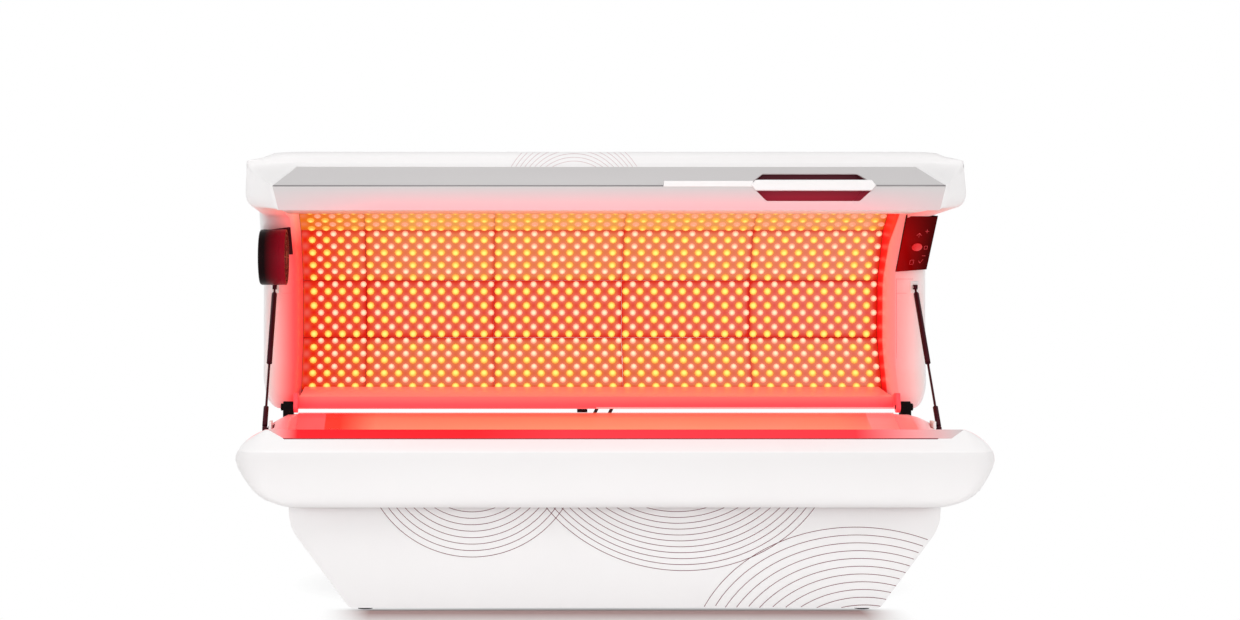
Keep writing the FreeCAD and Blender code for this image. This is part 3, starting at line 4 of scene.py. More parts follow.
import bmesh
import bpy
from bpy.props import FloatProperty, FloatVectorProperty, IntProperty, PointerProperty
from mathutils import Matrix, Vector


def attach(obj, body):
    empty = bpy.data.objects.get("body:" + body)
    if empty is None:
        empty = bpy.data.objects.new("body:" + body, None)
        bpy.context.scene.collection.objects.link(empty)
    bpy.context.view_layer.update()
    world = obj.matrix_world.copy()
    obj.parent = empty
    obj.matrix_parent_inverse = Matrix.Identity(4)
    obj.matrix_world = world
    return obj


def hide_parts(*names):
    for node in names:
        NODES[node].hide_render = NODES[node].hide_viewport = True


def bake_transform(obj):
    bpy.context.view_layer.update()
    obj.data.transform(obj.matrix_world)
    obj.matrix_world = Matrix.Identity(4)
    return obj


bl_info = {
    "name": "Light Therapy Bed",
    "version": (1, 0, 0),
    "blender": (4, 5, 0),
    "location": "View3D > Sidebar > Light Bed",
    "description": "Dresses the packed frame of a full-length light bed",
    "category": "Object",
}

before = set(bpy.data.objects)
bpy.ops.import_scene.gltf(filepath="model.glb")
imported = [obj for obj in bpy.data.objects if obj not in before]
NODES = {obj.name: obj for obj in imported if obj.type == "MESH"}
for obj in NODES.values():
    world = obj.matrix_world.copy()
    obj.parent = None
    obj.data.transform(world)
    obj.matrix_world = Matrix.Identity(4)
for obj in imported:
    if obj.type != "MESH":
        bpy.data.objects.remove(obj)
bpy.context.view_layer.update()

# The canopy turns about the hinge axis, so its sections are drawn from there, in metres
HINGE_Y = 0.237
HINGE_Z = 0.5565
HOOD_LINE = ((-0.460, 0.790), (-0.460, 0.825, 0.030), (0.471, 0.811, 0.480), (0.471, 0.140, 0.430),
             (0.365, 0.0045, 0.040), (0.025, -0.0075))
FLANGE_LINE = ((-0.460, 0.648), (-0.062, 0.635, 0.080), (0.113, 0.488, 0.100), (0.113, 0.133, 0.120),
               (0.048, 0.0315), (0.025, -0.0075))
# Share of the run from the crown to the end wall, then share of the fall there
CROWN_SLOPE = ((0.0, 0.0), (0.2, 0.015), (0.4, 0.04), (0.6, 0.14), (0.8, 0.58))
# Share of the bench height, then how far the wall stands in from the nose there
END_NOSE = ((0.0, 0.149), (0.11, 0.087), (0.31, 0.038), (0.60, 0.0), (0.82, 0.024), (0.93, 0.057), (1.0, 0.090))
FRONT_NOSE = ((0.0, 0.032), (0.015, 0.0195), (0.03, 0.0135), (0.06, 0.0078), (0.10, 0.005), (0.22, 0.0025),
              (0.42, 0.001), (0.60, 0.0002), (0.70, 0.0),
              (0.72, 0.0004), (0.75, 0.0038), (0.78, 0.0096), (1.0, 0.054))
BENCH_LEVELS = (0.0, 0.015, 0.03, 0.06, 0.10, 0.15, 0.22, 0.30, 0.40, 0.50, 0.60, 0.66, 0.70, 0.715, 0.73, 0.745, 0.76,
                0.78, 0.82, 0.86, 0.90, 0.93, 0.96, 0.985, 1.0)
# Silver trim on the visor: half length, depth and height of its three edges
TRIM_TOP = (0.966, -0.472, 0.7745)
TRIM_RIDGE = (1.031, -0.610, 0.708)
TRIM_LOW = (1.012, -0.610, 0.633)
# Small signs on the control glass, as lines from the button's middle
PANEL_SIGNS = (((-0.004, 0.036), (0.004, 0.044), (0.012, 0.036)), ((0.004, 0.030), (0.004, 0.044)),
               ((0.022, 0.050), (0.034, 0.050)), ((0.028, 0.044), (0.028, 0.056)),
               ((0.030, -0.008), (0.040, -0.008), (0.040, 0.002), (0.030, 0.002), (0.030, -0.008)),
               ((0.028, -0.030), (0.040, -0.030)),
               ((-0.008, -0.044), (0.004, -0.044), (0.004, -0.058), (-0.008, -0.058), (-0.008, -0.044)),
               ((0.020, -0.046), (0.026, -0.054), (0.034, -0.042)))
# Lamp boards of the canopy: their ends, the run of the trough's end walls, the first seam and the length of a board
BOARD_END = 1.0124
TROUGH_RUN = 0.0108
FIRST_SEAM = -0.79
BOARD_LENGTH = 0.45
BOARD_THICKNESS = 0.002
# Flat facets round an arc across the bed: its middle, the distance of the faces from it, first angle and step
Arc = namedtuple("Arc", "centre face low step")
FACETS = 5
SIDES = ((1, "right"), (-1, "left"))
BOX_FACES = ((0, 1, 3, 2), (4, 6, 7, 5), (0, 4, 5, 1), (2, 3, 7, 6), (0, 2, 6, 4), (1, 5, 7, 3))
# How much lighter and darker moulded plastic is in places
MOTTLE = 0.012
FINISHES = {}


# Settings

def length(name, description, default):
    return FloatProperty(name=name, description=description, default=default, min=0.0, unit="LENGTH",
                         subtype="DISTANCE")


def colour(name, description, default):
    return FloatVectorProperty(name=name, description=description, default=default, min=0.0, max=1.0, size=3,
                               subtype="COLOR")


class BenchSettings(bpy.types.PropertyGroup):
    """Sizes of the bench and pedestal"""
    half: length("Half length", "From the middle to the tip of the nose at either end", 1.117)
    front: FloatProperty(name="Front", description="Place of the front nose", default=-0.708, unit="LENGTH")
    rear: FloatProperty(name="Rear", description="Place of the rear wall", default=0.350, unit="LENGTH")
    floor: length("Floor height", "Underside of the bench", 0.310)
    height: length("Height", "From the underside to the deck", 0.225)
    wall: length("Wall", "Thickness of the moulding", 0.006)
    front_corner: length("Front corner", "Plan radius of the front corners at the nose", 0.100)
    rear_corner: length("Rear corner", "Plan radius of the rear corners", 0.060)


class CanopySettings(bpy.types.PropertyGroup):
    """Sizes of the canopy moulding"""
    half: length("Half length", "From the middle to either end", 1.128)
    wall: length("Wall", "Thickness of the moulding", 0.005)
    crown_fall: length("Crown fall", "How far the crown slopes down towards the ends", 0.032)
    crown_run: length("Crown run", "Length over which the crown slopes", 0.178)
    corner: length("Corner", "Radius between the crown's slope and the end wall", 0.026)
    edge_round: length("Edge round", "Radius of the outer edge of the end flanges", 0.014)
    visor_round: length("Visor round", "How much rounder the flange edge is under the visor", 0.032)
    flange_inner: length("Flange inner edge", "Distance of the flange's inner edge from the middle", 1.0232)


class LampSettings(bpy.types.PropertyGroup):
    """Lamp boards and lenses"""
    pitch: length("Lamp pitch", "Distance between lamps of one kind", 0.050)
    amber_radius: length("Amber lens", "Radius of an amber lens", 0.0125)
    clear_radius: length("Clear lens", "Radius of a clear lens", 0.0110)
    lens_rise: length("Lens height", "Height of a lens over its board", 0.006)
    columns: IntProperty(name="Columns", description="Lamps of one kind along a row", default=40, min=1)
    rows: IntProperty(name="Rows", description="Rows of one kind on a facet", default=4, min=1)
    glow: FloatProperty(name="Glow", description="Strength of the canopy's red light", default=1.0, min=0.0)
    bed_glow: FloatProperty(name="Bed glow", description="Strength of the red light under the bed", default=1.0,
                            min=0.0)


class ColourSettings(bpy.types.PropertyGroup):
    """Colours of the finishes"""
    white: colour("White plastic", "Mouldings and panels", (0.85, 0.835, 0.835))
    silver: colour("Silver", "Trim strips", (0.585, 0.565, 0.565))
    burgundy: colour("Burgundy", "Fan, struts and handle recess", (0.050, 0.008, 0.013))
    black: colour("Black", "Hinge blocks and dark plastic", (0.006, 0.004, 0.0045))
    print_red: colour("Printed lines", "Thin line print on the white panels", (0.16, 0.012, 0.026))
    amber: colour("Amber", "Light of the amber lenses", (1.0, 0.88, 0.20))
    clear: colour("Clear", "Light of the clear lenses", (1.0, 0.80, 0.54))


class LightBedSettings(bpy.types.PropertyGroup):
    """All settings of the light bed"""
    bench: PointerProperty(type=BenchSettings)
    canopy: PointerProperty(type=CanopySettings)
    lamps: PointerProperty(type=LampSettings)
    colours: PointerProperty(type=ColourSettings)


# Shader nodes as expressions

def arithmetic(operation):
    """Method of an operator, and its reflected form."""
    def plain(self, other):
        return self.math(operation, self, other)

    def reflected(self, other):
        return self.math(operation, other, self)

    return plain, reflected


class Wire:
    """One output socket that takes part in arithmetic."""

    def __init__(self, graph, socket):
        self.graph = graph
        self.socket = socket

    def math(self, operation, *values):
        return self.graph.math(operation, *values)

    __add__, __radd__ = arithmetic("ADD")
    __sub__, __rsub__ = arithmetic("SUBTRACT")
    __mul__, __rmul__ = arithmetic("MULTIPLY")
    __truediv__, __rtruediv__ = arithmetic("DIVIDE")

    def below(self, other):
        return self.math("LESS_THAN", self, other)

    def larger(self, other):
        return self.math("MAXIMUM", self, other)

    def size(self):
        return self.math("ABSOLUTE", self)

    def clamped(self):
        return self.math("MINIMUM", self.larger(0.0), 1.0)

    def rise(self, low, high):
        """0 at low, 1 at high, straight between and flat beyond."""
        return ((self - low) / (high - low)).clamped()

    def centred(self, pitch, offset):
        """Distance from the nearest line of an even row of lines."""
        return self.math("FLOORED_MODULO", self - offset + pitch / 2, pitch) - pitch / 2


class Graph:
    """A node tree that takes nodes and expressions."""

    def __init__(self, tree):
        self.nodes = tree.nodes
        self.links = tree.links

    def node(self, kind, inputs=None, **settings):
        """Add a node: its settings first, then the values or links of its sockets."""
        node = self.nodes.new(kind)
        for key, value in settings.items():
            setattr(node, key, value)
        for key, value in (inputs or {}).items():
            self.feed(node.inputs[key], value)
        return node

    def feed(self, socket, value):
        if isinstance(value, Wire):
            value = value.socket
        if isinstance(value, bpy.types.NodeSocket):
            self.links.new(value, socket)
        elif socket.type == "RGBA":
            socket.default_value = (*value, 1.0)
        else:
            socket.default_value = value

    def math(self, operation, *values):
        node = self.node("ShaderNodeMath", dict(enumerate(values)), operation=operation)
        return Wire(self, node.outputs[0])


class Finish(Graph):
    """A material with one Principled shader, built from expressions and kept by its name."""

    def __init__(self, name):
        self.material = bpy.data.materials.new(name)
        self.material.use_nodes = True
        super().__init__(self.material.node_tree)
        self.shader = self.nodes["Principled BSDF"]
        FINISHES[name] = self.material

    def set(self, **values):
        """Values of the shader's sockets, by name with underscores for spaces."""
        for key, value in values.items():
            self.feed(self.shader.inputs[key.replace("_", " ")], value)

    def position(self, output="Object"):
        """X, Y and Z of a point in the piece's own frame, or its UV."""
        split = self.node("ShaderNodeSeparateXYZ", {0: self.node("ShaderNodeTexCoord").outputs[output]})
        return [Wire(self, socket) for socket in split.outputs]

    def noise(self, scale, detail=3.0, stretch=(1.0, 1.0, 1.0)):
        """Fine noise from 0 to 1 on Object coordinates."""
        place = self.node("ShaderNodeTexCoord").outputs["Object"]
        mapping = self.node("ShaderNodeMapping", {0: place, "Scale": stretch})
        noise = self.node("ShaderNodeTexNoise", {"Vector": mapping.outputs[0], "Scale": scale, "Detail": detail})
        return Wire(self, noise.outputs["Fac"])

    def mix(self, share, first, second):
        """Colour between two colours."""
        return self.node("ShaderNodeMix", {0: share, 6: first, 7: second}, data_type="RGBA").outputs[2]

    def spill(self, share, base, painted_light, glow=0.33):
        """Painted light: base colour turned by a share towards a colour of the lamps' light, with a painted glow of
        its own there.
        """
        self.set(Emission_Color=self.mix(share, (0.0, 0.0, 0.0), painted_light), Emission_Strength=glow)
        return self.mix(share, base, painted_light)

    def attribute(self, name):
        return Wire(self, self.node("ShaderNodeAttribute", attribute_name=name).outputs["Fac"])

    def bump(self, height, strength, distance):
        node = self.node("ShaderNodeBump", {"Height": height, "Strength": strength, "Distance": distance})
        self.set(Normal=node.outputs[0])


def shade(base, factor):
    return tuple(min(1.0, c * factor) for c in base)


def moulded(name, base, roughness, gloss=0.2, painted_light=None, peel=160.0, bump=0.015):
    """Moulded or sprayed plastic: slight mottling, gloss that varies, orange peel and optional light and shade of the
    lamps painted into its colour by place.
    """
    finish = Finish(name)
    broad = finish.noise(3.0, 2.0)
    fine = finish.noise(peel, 2.0)
    colour_in = finish.mix(broad, shade(base, 1.0 - MOTTLE), shade(base, 1.0 + MOTTLE))
    # Light and shade of the lamps painted into the colour by place, where a function for it is given
    if painted_light:
        colour_in = painted_light(finish, colour_in, *finish.position())
    finish.set(Base_Color=colour_in, Roughness=roughness + (broad - 0.5) * 0.04, Specular_IOR_Level=gloss)
    finish.bump(fine, bump, 0.0006)


def metal(name, base, roughness, grain=(1.0, 60.0, 60.0), scale=9.0):
    """Metal with brushing drawn out along one axis."""
    finish = Finish(name)
    lines = finish.noise(scale, 5.0, grain)
    broad = finish.noise(6.0, 2.0)
    finish.set(Base_Color=finish.mix(lines, shade(base, 0.90), shade(base, 1.06)), Metallic=1.0,
               Roughness=roughness + (lines - 0.5) * 0.12 + (broad - 0.5) * 0.05)
    finish.bump(lines, 0.08, 0.0003)


def rubber(name, base):
    finish = Finish(name)
    fine = finish.noise(420.0, 4.0)
    finish.set(Base_Color=finish.mix(fine, shade(base, 0.8), shade(base, 1.5)), Roughness=0.62 + fine * 0.2)
    finish.bump(fine, 0.25, 0.0008)


def acrylic(name):
    """Clear bed sheet with the lamps' red light and their reflection painted into its colour and glow, paler towards
    the front.
    """
    finish = Finish(name)
    x, y, z = finish.position()
    broad = finish.noise(2.6, 2.0, (1.0, 2.5, 1.0))
    mid = 1.0 - x.size().rise(0.80, 0.95)
    painted_light = finish.mix((mid * 0.7 + broad * 0.3).clamped(), (0.92, 0.13, 0.11), (0.92, 0.25, 0.14))
    painted_light = finish.mix((1.0 - y.rise(0.17, 0.29)) * 0.55, painted_light, (0.95, 0.42, 0.27))
    painted_light = finish.mix((-1.0 * x).rise(0.74, 0.86), painted_light, (0.90, 0.060, 0.034))
    ends = finish.mix(x.below(0.0), (0.93, 0.31, 0.28), (0.93, 0.16, 0.16))
    painted_light = finish.mix(x.size().rise(0.908, 0.912), painted_light, ends)
    finish.set(Base_Color=painted_light, Emission_Color=painted_light, Emission_Strength=0.45, Roughness=0.10 + broad * 0.05,
               Alpha=0.62, IOR=1.49, Specular_IOR_Level=0.25)


def lamp_board(name, strength, pitch, half, reach):
    """Circuit board whose glow stands in for the lamps' light: painted pools of light round each lamp, a painted tone
    for each facet, redder towards its ends and deep red along its edges and seams; V holds the facet number and the
    place on it.
    """
    finish = Finish(name)
    along, across, _ = finish.position("UV")
    facet = finish.math("ROUND", across)
    local = across - facet

    def pools(first_along, first_across):
        """Light round the lamps of one kind."""
        x, y = along.centred(pitch, first_along), local.centred(pitch, first_across)
        return finish.math("EXPONENT", (x * x + y * y) * -5600.0)

    amber = pools(pitch / 2, pitch / 4)
    clear = pools(0.0, -pitch / 4)
    mottle = finish.noise(2.2, 3.0)
    inside = along.rise(-0.98, -0.62) * (1.0 - along.rise(reach - 0.05, reach)) * (0.9 + mottle * 0.2)
    # Painted glow of the board: a tone for each facet, turning redder towards the board's ends
    painted_glow = finish.mix(facet.rise(0.0, 1.0), (0.63, 0.125, 0.055), (0.63, 0.050, 0.038))
    painted_glow = finish.mix(facet.rise(1.0, 2.0), painted_glow, (0.65, 0.180, 0.072))
    painted_glow = finish.mix(facet.rise(2.0, 3.0), painted_glow, (0.70, 0.345, 0.075))
    painted_glow = finish.mix(along.rise(0.2, 0.8) * 0.35, painted_glow, (0.66, 0.18, 0.18))
    end = finish.mix(facet.rise(2.0, 4.0), (0.68, 0.003, 0.000), (0.71, 0.270, 0.012))
    painted_glow = finish.mix(inside.clamped(), end, painted_glow)
    painted_glow = finish.mix(clear * (0.30 + inside * 0.55), painted_glow, (0.87, 0.34, 0.25))
    painted_glow = finish.mix(amber * (0.55 + inside * 0.35), painted_glow, (0.88, 0.40, 0.045))
    across_edge = local.size().rise(half - 0.017, half - 0.002) * (1.0 - facet.rise(1.6, 2.6) * 0.6)
    along_edge = 1.0 - along.centred(BOARD_LENGTH, FIRST_SEAM).size().rise(0.002, 0.016)
    along_edge = along_edge * (1.0 - (facet - 1.0).size().rise(0.0, 2.5) * 0.8)
    light = finish.mix((across_edge + along_edge).clamped() * 0.92, painted_glow, (0.58, 0.006, 0.001))
    grain = finish.noise(300.0, 2.0)
    finish.set(Base_Color=finish.mix(grain, (0.10, 0.003, 0.002), (0.14, 0.005, 0.004)),
               Roughness=0.42 + grain * 0.1, Emission_Color=light, Emission_Strength=strength,
               Specular_IOR_Level=0.03)


def lens_finish(name, base, edge, dim):
    """Glowing lens, brighter in the middle of its dome and dimmer on the top boards."""
    finish = Finish(name)
    rim = finish.attribute("rim")
    x, y, z = finish.position()
    light = finish.mix((rim.rise(0.30, 1.0) + z.rise(1.150, 1.160) * dim).clamped(), base, edge)
    finish.set(Base_Color=shade(base, 0.3), Roughness=0.4, Emission_Color=light, Emission_Strength=1.0,
               Specular_IOR_Level=0.1)
    finish.material.cycles.emission_sampling = "NONE"


def dark_glass(name, base, light):
    # Painted red light of the lamps on the glass, strongest on its side next to the lamp trough and fading upwards
    finish = Finish(name)
    x, y, z = finish.position()
    inner = (1.0 - x.rise(1.03, 1.115)) * (1.0 - z.rise(1.12, 1.20) * 0.6)
    finish.set(Base_Color=finish.mix(inner, shade(base, 0.5), base), Roughness=0.12 + inner * 0.06,
               Specular_IOR_Level=0.02, Emission_Color=finish.mix(inner, shade(light, 0.15), light),
               Emission_Strength=1.0)


def glowing(name, base):
    finish = Finish(name)
    broad = finish.noise(18.0, 2.0)
    finish.set(Base_Color=finish.mix(broad, shade(base, 0.85), base), Roughness=0.3 + broad * 0.1,
               Emission_Color=finish.mix(broad, shade(base, 0.92), base), Emission_Strength=0.45)


def hood_spill(finish, base, x, y, z):
    """Red light on the end flanges, strongest beside the lamps and on the left."""
    side = x.size()
    under_visor = z.rise(1.16, 1.19) * (1.0 - side.rise(1.09, 1.12)) * 0.45
    near = (1.0 - side.rise(1.025, 1.118)).larger(under_visor)
    here = near * (1.0 - z.rise(1.20, 1.225)) * y.below(0.362) * y.rise(-0.24, 0.02)
    left = x.below(0.0) * (1.0 - z.rise(1.10, 1.19) * 0.85)
    return finish.spill(here, base, finish.mix(left, (0.92, 0.36, 0.37), (0.92, 0.11, 0.12)))


def wall_spill(finish, base, x, y, z):
    """Red light on the end walls of the lamp trough: a deep band beside the lamps, pale pink in front of it."""
    place = (x.size() - BOARD_END) / TROUGH_RUN
    outer = (place - z.rise(1.0, 1.2) * 0.3 + x.below(0.0)).rise(0.29, 0.35)
    left = finish.mix(z.rise(1.10, 1.20), (0.92, 0.10, 0.11), (0.92, 0.42, 0.42))
    pale = finish.mix(x.below(0.0), (0.92, 0.30, 0.305), left)
    return finish.spill(1.0, base, finish.mix(outer, (0.95, 0.012, 0.016), pale))


def sill_spill(finish, base, x, y, z):
    return finish.spill(1.0, base, finish.mix(y.rise(0.27, 0.30), (0.91, 0.075, 0.095), (0.92, 0.235, 0.205)))


def bench_spill(finish, base, x, y, z):
    """Painted red light on the deck round the bed, fading at its right end, and a breath of it under the rim trim;
    painted shade at the deck's rear edge and below the crease.
    """
    ends = (1.0 - x.rise(0.99, 1.080) * 0.9) * (1.0 - (-1.0 * x).rise(1.03, 1.085))
    deck = y.rise(-0.650, -0.640) * z.rise(0.40, 0.45) * ends * (1.0 - y.rise(0.30, 0.345))
    bevel = z.rise(0.4725, 0.4775) * 0.08 + z.rise(0.480, 0.515) * 0.09
    bevel = bevel * (1.0 - x.size().rise(0.55, 0.98)) * y.below(-0.640)
    # Painted shade: deeper red at the deck's rear edge
    painted_light = finish.mix(y.rise(0.286, 0.294), (0.92, 0.20, 0.21), (0.45, 0.03, 0.045))
    # Painted shade: the face just below the crease up to 8 % darker, fading out lower down
    below = (1.0 - z.rise(0.4705, 0.4745)) * z.rise(0.33, 0.45)
    return finish.spill((deck + bevel).clamped(), finish.mix(below * 0.08, base, (0.0, 0.0, 0.0)), painted_light)


def cover_spill(finish, base, x, y, z):
    return finish.spill(1.0, base, finish.mix(x.below(0.0), (0.92, 0.32, 0.32), (0.92, 0.17, 0.18)), 0.45)


def rim_spill(finish, base, x, y, z):
    share = x.rise(-1.03, -0.93) * (1.0 - x.rise(0.70, 1.02))
    painted_light = finish.mix(x.rise(-0.42, -0.15), (0.94, 0.004, 0.010), (0.94, 0.024, 0.036))
    return finish.spill(share, base, painted_light, 0.4)


def trim_spill(finish, base, x, y, z):
    low = (1.0 - z.rise(1.19, 1.262)) * (1.0 - x.size().rise(0.70, 1.0) * 0.75)
    return finish.spill(low * 0.9, base, (0.90, 0.38, 0.41), 0.15)


def cup_spill(finish, base, x, y, z):
    return finish.spill(1.0 - z.rise(1.235, 1.275), base, (0.40, 0.026, 0.050), 0.1)


def drum_spill(finish, base, x, y, z):
    """Red light on the fan drum's side towards the lamps."""
    return finish.spill(x.rise(-1.100, -1.040), base, (0.17, 0.003, 0.010), 0.5)


def make_finishes(settings):
    """One material for each finish."""
    tones, lamps = settings.colours, settings.lamps
    white, silver, black = tuple(tones.white), tuple(tones.silver), tuple(tones.black)
    for row in (("white_gloss", white, 0.34),
                ("white_hood", white, 0.5, 0.1, hood_spill),
                ("white_wall", white, 0.36, 0.2, wall_spill),
                ("white_sill", white, 0.36, 0.2, sill_spill),
                ("white_bench", white, 0.32, 0.2, bench_spill),
                ("white_cover", white, 0.34, 0.2, cover_spill),
                ("white_steel", shade(white, 0.99), 0.36, 0.2, None, 240.0),
                ("silver_trim", silver, 0.38, 0.2, trim_spill),
                ("rim_trim", silver, 0.34, 0.2, rim_spill),
                ("black_steel", black, 0.5, 0.03, None, 320.0, 0.12),
                ("dark_plastic", shade(black, 1.6), 0.5, 0.1, None, 380.0, 0.2),
                ("black_gloss", (0.008, 0.0015, 0.002), 0.30, 0.06),
                ("drum_black", (0.006, 0.001, 0.0015), 0.32, 0.05, drum_spill),
                ("burgundy_plastic", tuple(tones.burgundy), 0.40, 0.06),
                ("handle_burgundy", (0.12, 0.030, 0.042), 0.45, 0.03, cup_spill),
                ("light_diffuser", (0.84, 0.825, 0.825), 0.3),
                ("line_print", tuple(tones.print_red), 0.4, 0.05),
                ("line_print_pale", (0.62, 0.45, 0.47), 0.4, 0.05),
                # Dark line: painted shadow under the rim strip; grey line: painted shade on the trim's ridge; pink
                # lines: joints with painted red light
                ("dark_seam", (0.20, 0.045, 0.055), 0.5, 0.05),
                ("grey_seam", (0.30, 0.285, 0.29), 0.5, 0.05),
                ("pink_seam", (0.62, 0.17, 0.19), 0.5, 0.05),
                ("strut_metal", (0.045, 0.005, 0.010), 0.3, 0.08),
                ("fan_inside", (0.16, 0.008, 0.014), 0.4)):
        moulded(*row)
    for row in (("steel_frame", (0.20, 0.20, 0.21), 0.5),
                ("aluminium_case", (0.62, 0.62, 0.64), 0.38),
                ("aluminium_frame", (0.60, 0.60, 0.62), 0.42),
                ("aluminium_hollow", (0.60, 0.60, 0.62), 0.42),
                ("screw_steel", (0.55, 0.55, 0.56), 0.3, (1.0, 1.0, 1.0), 90.0)):
        metal(*row)
    rubber("foot_rubber", (0.018, 0.017, 0.018))
    rubber("cable_rubber", (0.014, 0.010, 0.011))
    acrylic("clear_acrylic")
    dark_glass("dark_glass", (0.030, 0.001, 0.001), (0.30, 0.0, 0.0005))
    glowing("red_button", (0.55, 0.008, 0.012))
    glowing("panel_icon", (0.60, 0.03, 0.04))
    lamp_board("lamp_board", lamps.glow, lamps.pitch, 0.1005, 1.012)
    lamp_board("bed_lamp_board", lamps.bed_glow, lamps.pitch, 0.088, 1.2)
    lens_finish("amber_lens", tuple(tones.amber), (0.96, 0.34, 0.045), 0.25)
    lens_finish("clear_lens", tuple(tones.clear), (0.95, 0.27, 0.17), 0.75)


# Meshes

def rounded(corners, steps=8, closed=False):
    """Points along a line whose (a, b, radius) corners are rounded."""
    line = []
    count = len(corners)
    for index, corner in enumerate(corners):
        here = Vector(corner[:2])
        radius = corner[2] if len(corner) > 2 else 0.0
        if not radius or (not closed and index in (0, count - 1)):
            line.append(here)
            continue
        back = (Vector(corners[index - 1][:2]) - here).normalized()
        on = (Vector(corners[(index + 1) % count][:2]) - here).normalized()
        half = back.angle(on) / 2
        centre = here + (back + on).normalized() * (radius / math.sin(half))
        start = here + back * (radius / math.tan(half)) - centre
        end = here + on * (radius / math.tan(half)) - centre
        first = math.atan2(start.y, start.x)
        turn = (math.atan2(end.y, end.x) - first + math.pi) % (2 * math.pi) - math.pi
        for step in range(steps + 1):
            angle = first + turn * step / steps
            line.append(centre + Vector((math.cos(angle), math.sin(angle))) * radius)
    return line


def resampled(line, count):
    """The line as evenly spaced points."""
    stops = [0.0]
    for before, after in zip(line, line[1:]):
        stops.append(stops[-1] + (after - before).length)
    result = []
    part = 0
    for index in range(count):
        target = stops[-1] * index / (count - 1)
        while part < len(line) - 2 and stops[part + 1] < target:
            part += 1
        run = stops[part + 1] - stops[part]
        share = (target - stops[part]) / run if run else 0.0
        result.append(line[part].lerp(line[part + 1], min(max(share, 0.0), 1.0)))
    return result


def normals(line, side):
    """Unit normals along an open line, on its left (1) or right (-1)."""
    found = []
    for index in range(len(line)):
        along = line[min(index + 1, len(line) - 1)] - line[max(index - 1, 0)]
        found.append(Vector((-along.y, along.x)).normalized() * side)
    return found


def smooth_step(low, high, value):
    share = min(max((value - low) / (high - low), 0.0), 1.0)
    return share * share * (3.0 - 2.0 * share)


def hermite(t, start, lead, goal, arrival):
    """Smooth way from a start to a goal that sets off and arrives with these slopes."""
    return (start * (2 * t ** 3 - 3 * t ** 2 + 1) + lead * (t ** 3 - 2 * t ** 2 + t)
            + goal * (3 * t ** 2 - 2 * t ** 3) + arrival * (t ** 3 - t ** 2))


def curve_value(table, place):
    """Smooth value of a table of (place, value) pairs."""
    last = len(table) - 1
    index = 0
    while index < last - 1 and table[index + 1][0] < place:
        index += 1
    (x0, y0), (x1, y1) = table[index], table[index + 1]
    before = table[max(index - 1, 0)]
    after = table[min(index + 2, last)]
    run = x1 - x0
    slope0 = (y1 - before[1]) / (x1 - before[0])
    slope1 = (after[1] - y0) / (after[0] - x0)
    return hermite((place - x0) / run, y0, run * slope0, y1, run * slope1)


def grid_faces(rows, columns, wrap=False):
    faces = []
    for row in range(rows - 1):
        for column in range(columns if wrap else columns - 1):
            on = (column + 1) % columns
            faces.append((row * columns + column, row * columns + on,
                          (row + 1) * columns + on, (row + 1) * columns + column))
    return faces


def shifted(faces, start):
    """Faces whose points follow others in a list."""
    return [tuple(start + i for i in face) for face in faces]


def mirrored(right):
    """A row of points from its left end to its right end, made from its right half."""
    return [Vector((-p.x, p.y, p.z)) for p in reversed(right)] + right


def new_piece(name, points, faces, finish, angle=35.0, merge=0.00002, facing=None):
    """Mesh object at the origin with closed seams, outward faces and one finish; an open sheet faces one way."""
    mesh = bpy.data.meshes.new(name)
    mesh.from_pydata([tuple(p) for p in points], [], faces)
    form = bmesh.new()
    form.from_mesh(mesh)
    bmesh.ops.remove_doubles(form, verts=form.verts, dist=merge)
    bmesh.ops.dissolve_degenerate(form, edges=form.edges, dist=merge)
    bmesh.ops.recalc_face_normals(form, faces=form.faces)
    if facing:
        middle = sum((v.co for v in form.verts), Vector()) / len(form.verts)
        agreement = 0.0
        for face in form.faces:
            way = face.calc_center_median() - middle if facing == "OUT" else Vector(facing)
            agreement += face.normal.dot(way) * face.calc_area()
        if agreement < 0.0:
            bmesh.ops.reverse_faces(form, faces=form.faces)
    form.to_mesh(mesh)
    form.free()
    mesh.materials.append(FINISHES[finish])
    piece = bpy.data.objects.new(name, mesh)
    bpy.context.scene.collection.objects.link(piece)
    smooth(piece, angle)
    return piece


def slab(name, front, back, finish, edge):
    """Solid between two like loops of points, with rounded edges."""
    count = len(front)
    faces = [tuple(range(count)), tuple(range(count, 2 * count))] + grid_faces(2, count, True)
    return bevelled(new_piece(name, list(front) + list(back), faces, finish), edge, 3)


def smooth(piece, angle):
    piece.data.shade_smooth()
    piece.data.set_sharp_from_angle(angle=math.radians(angle))


def applied(piece):
    """Turn a piece's modifiers into plain mesh."""
    scene = bpy.context.evaluated_depsgraph_get()
    mesh = bpy.data.meshes.new_from_object(piece.evaluated_get(scene))
    old = piece.data
    piece.modifiers.clear()
    piece.data = mesh
    bpy.data.meshes.remove(old)
    return piece


def thicken(piece, thickness):
    modifier = piece.modifiers.new("wall", "SOLIDIFY")
    modifier.thickness = thickness
    modifier.offset = -1.0
    return piece


def bevelled(piece, width, segments=2, angle=40.0):
    modifier = piece.modifiers.new("edges", "BEVEL")
    modifier.width = width
    modifier.segments = segments
    modifier.limit_method = "ANGLE"
    modifier.angle_limit = math.radians(angle)
    modifier.harden_normals = True
    return piece


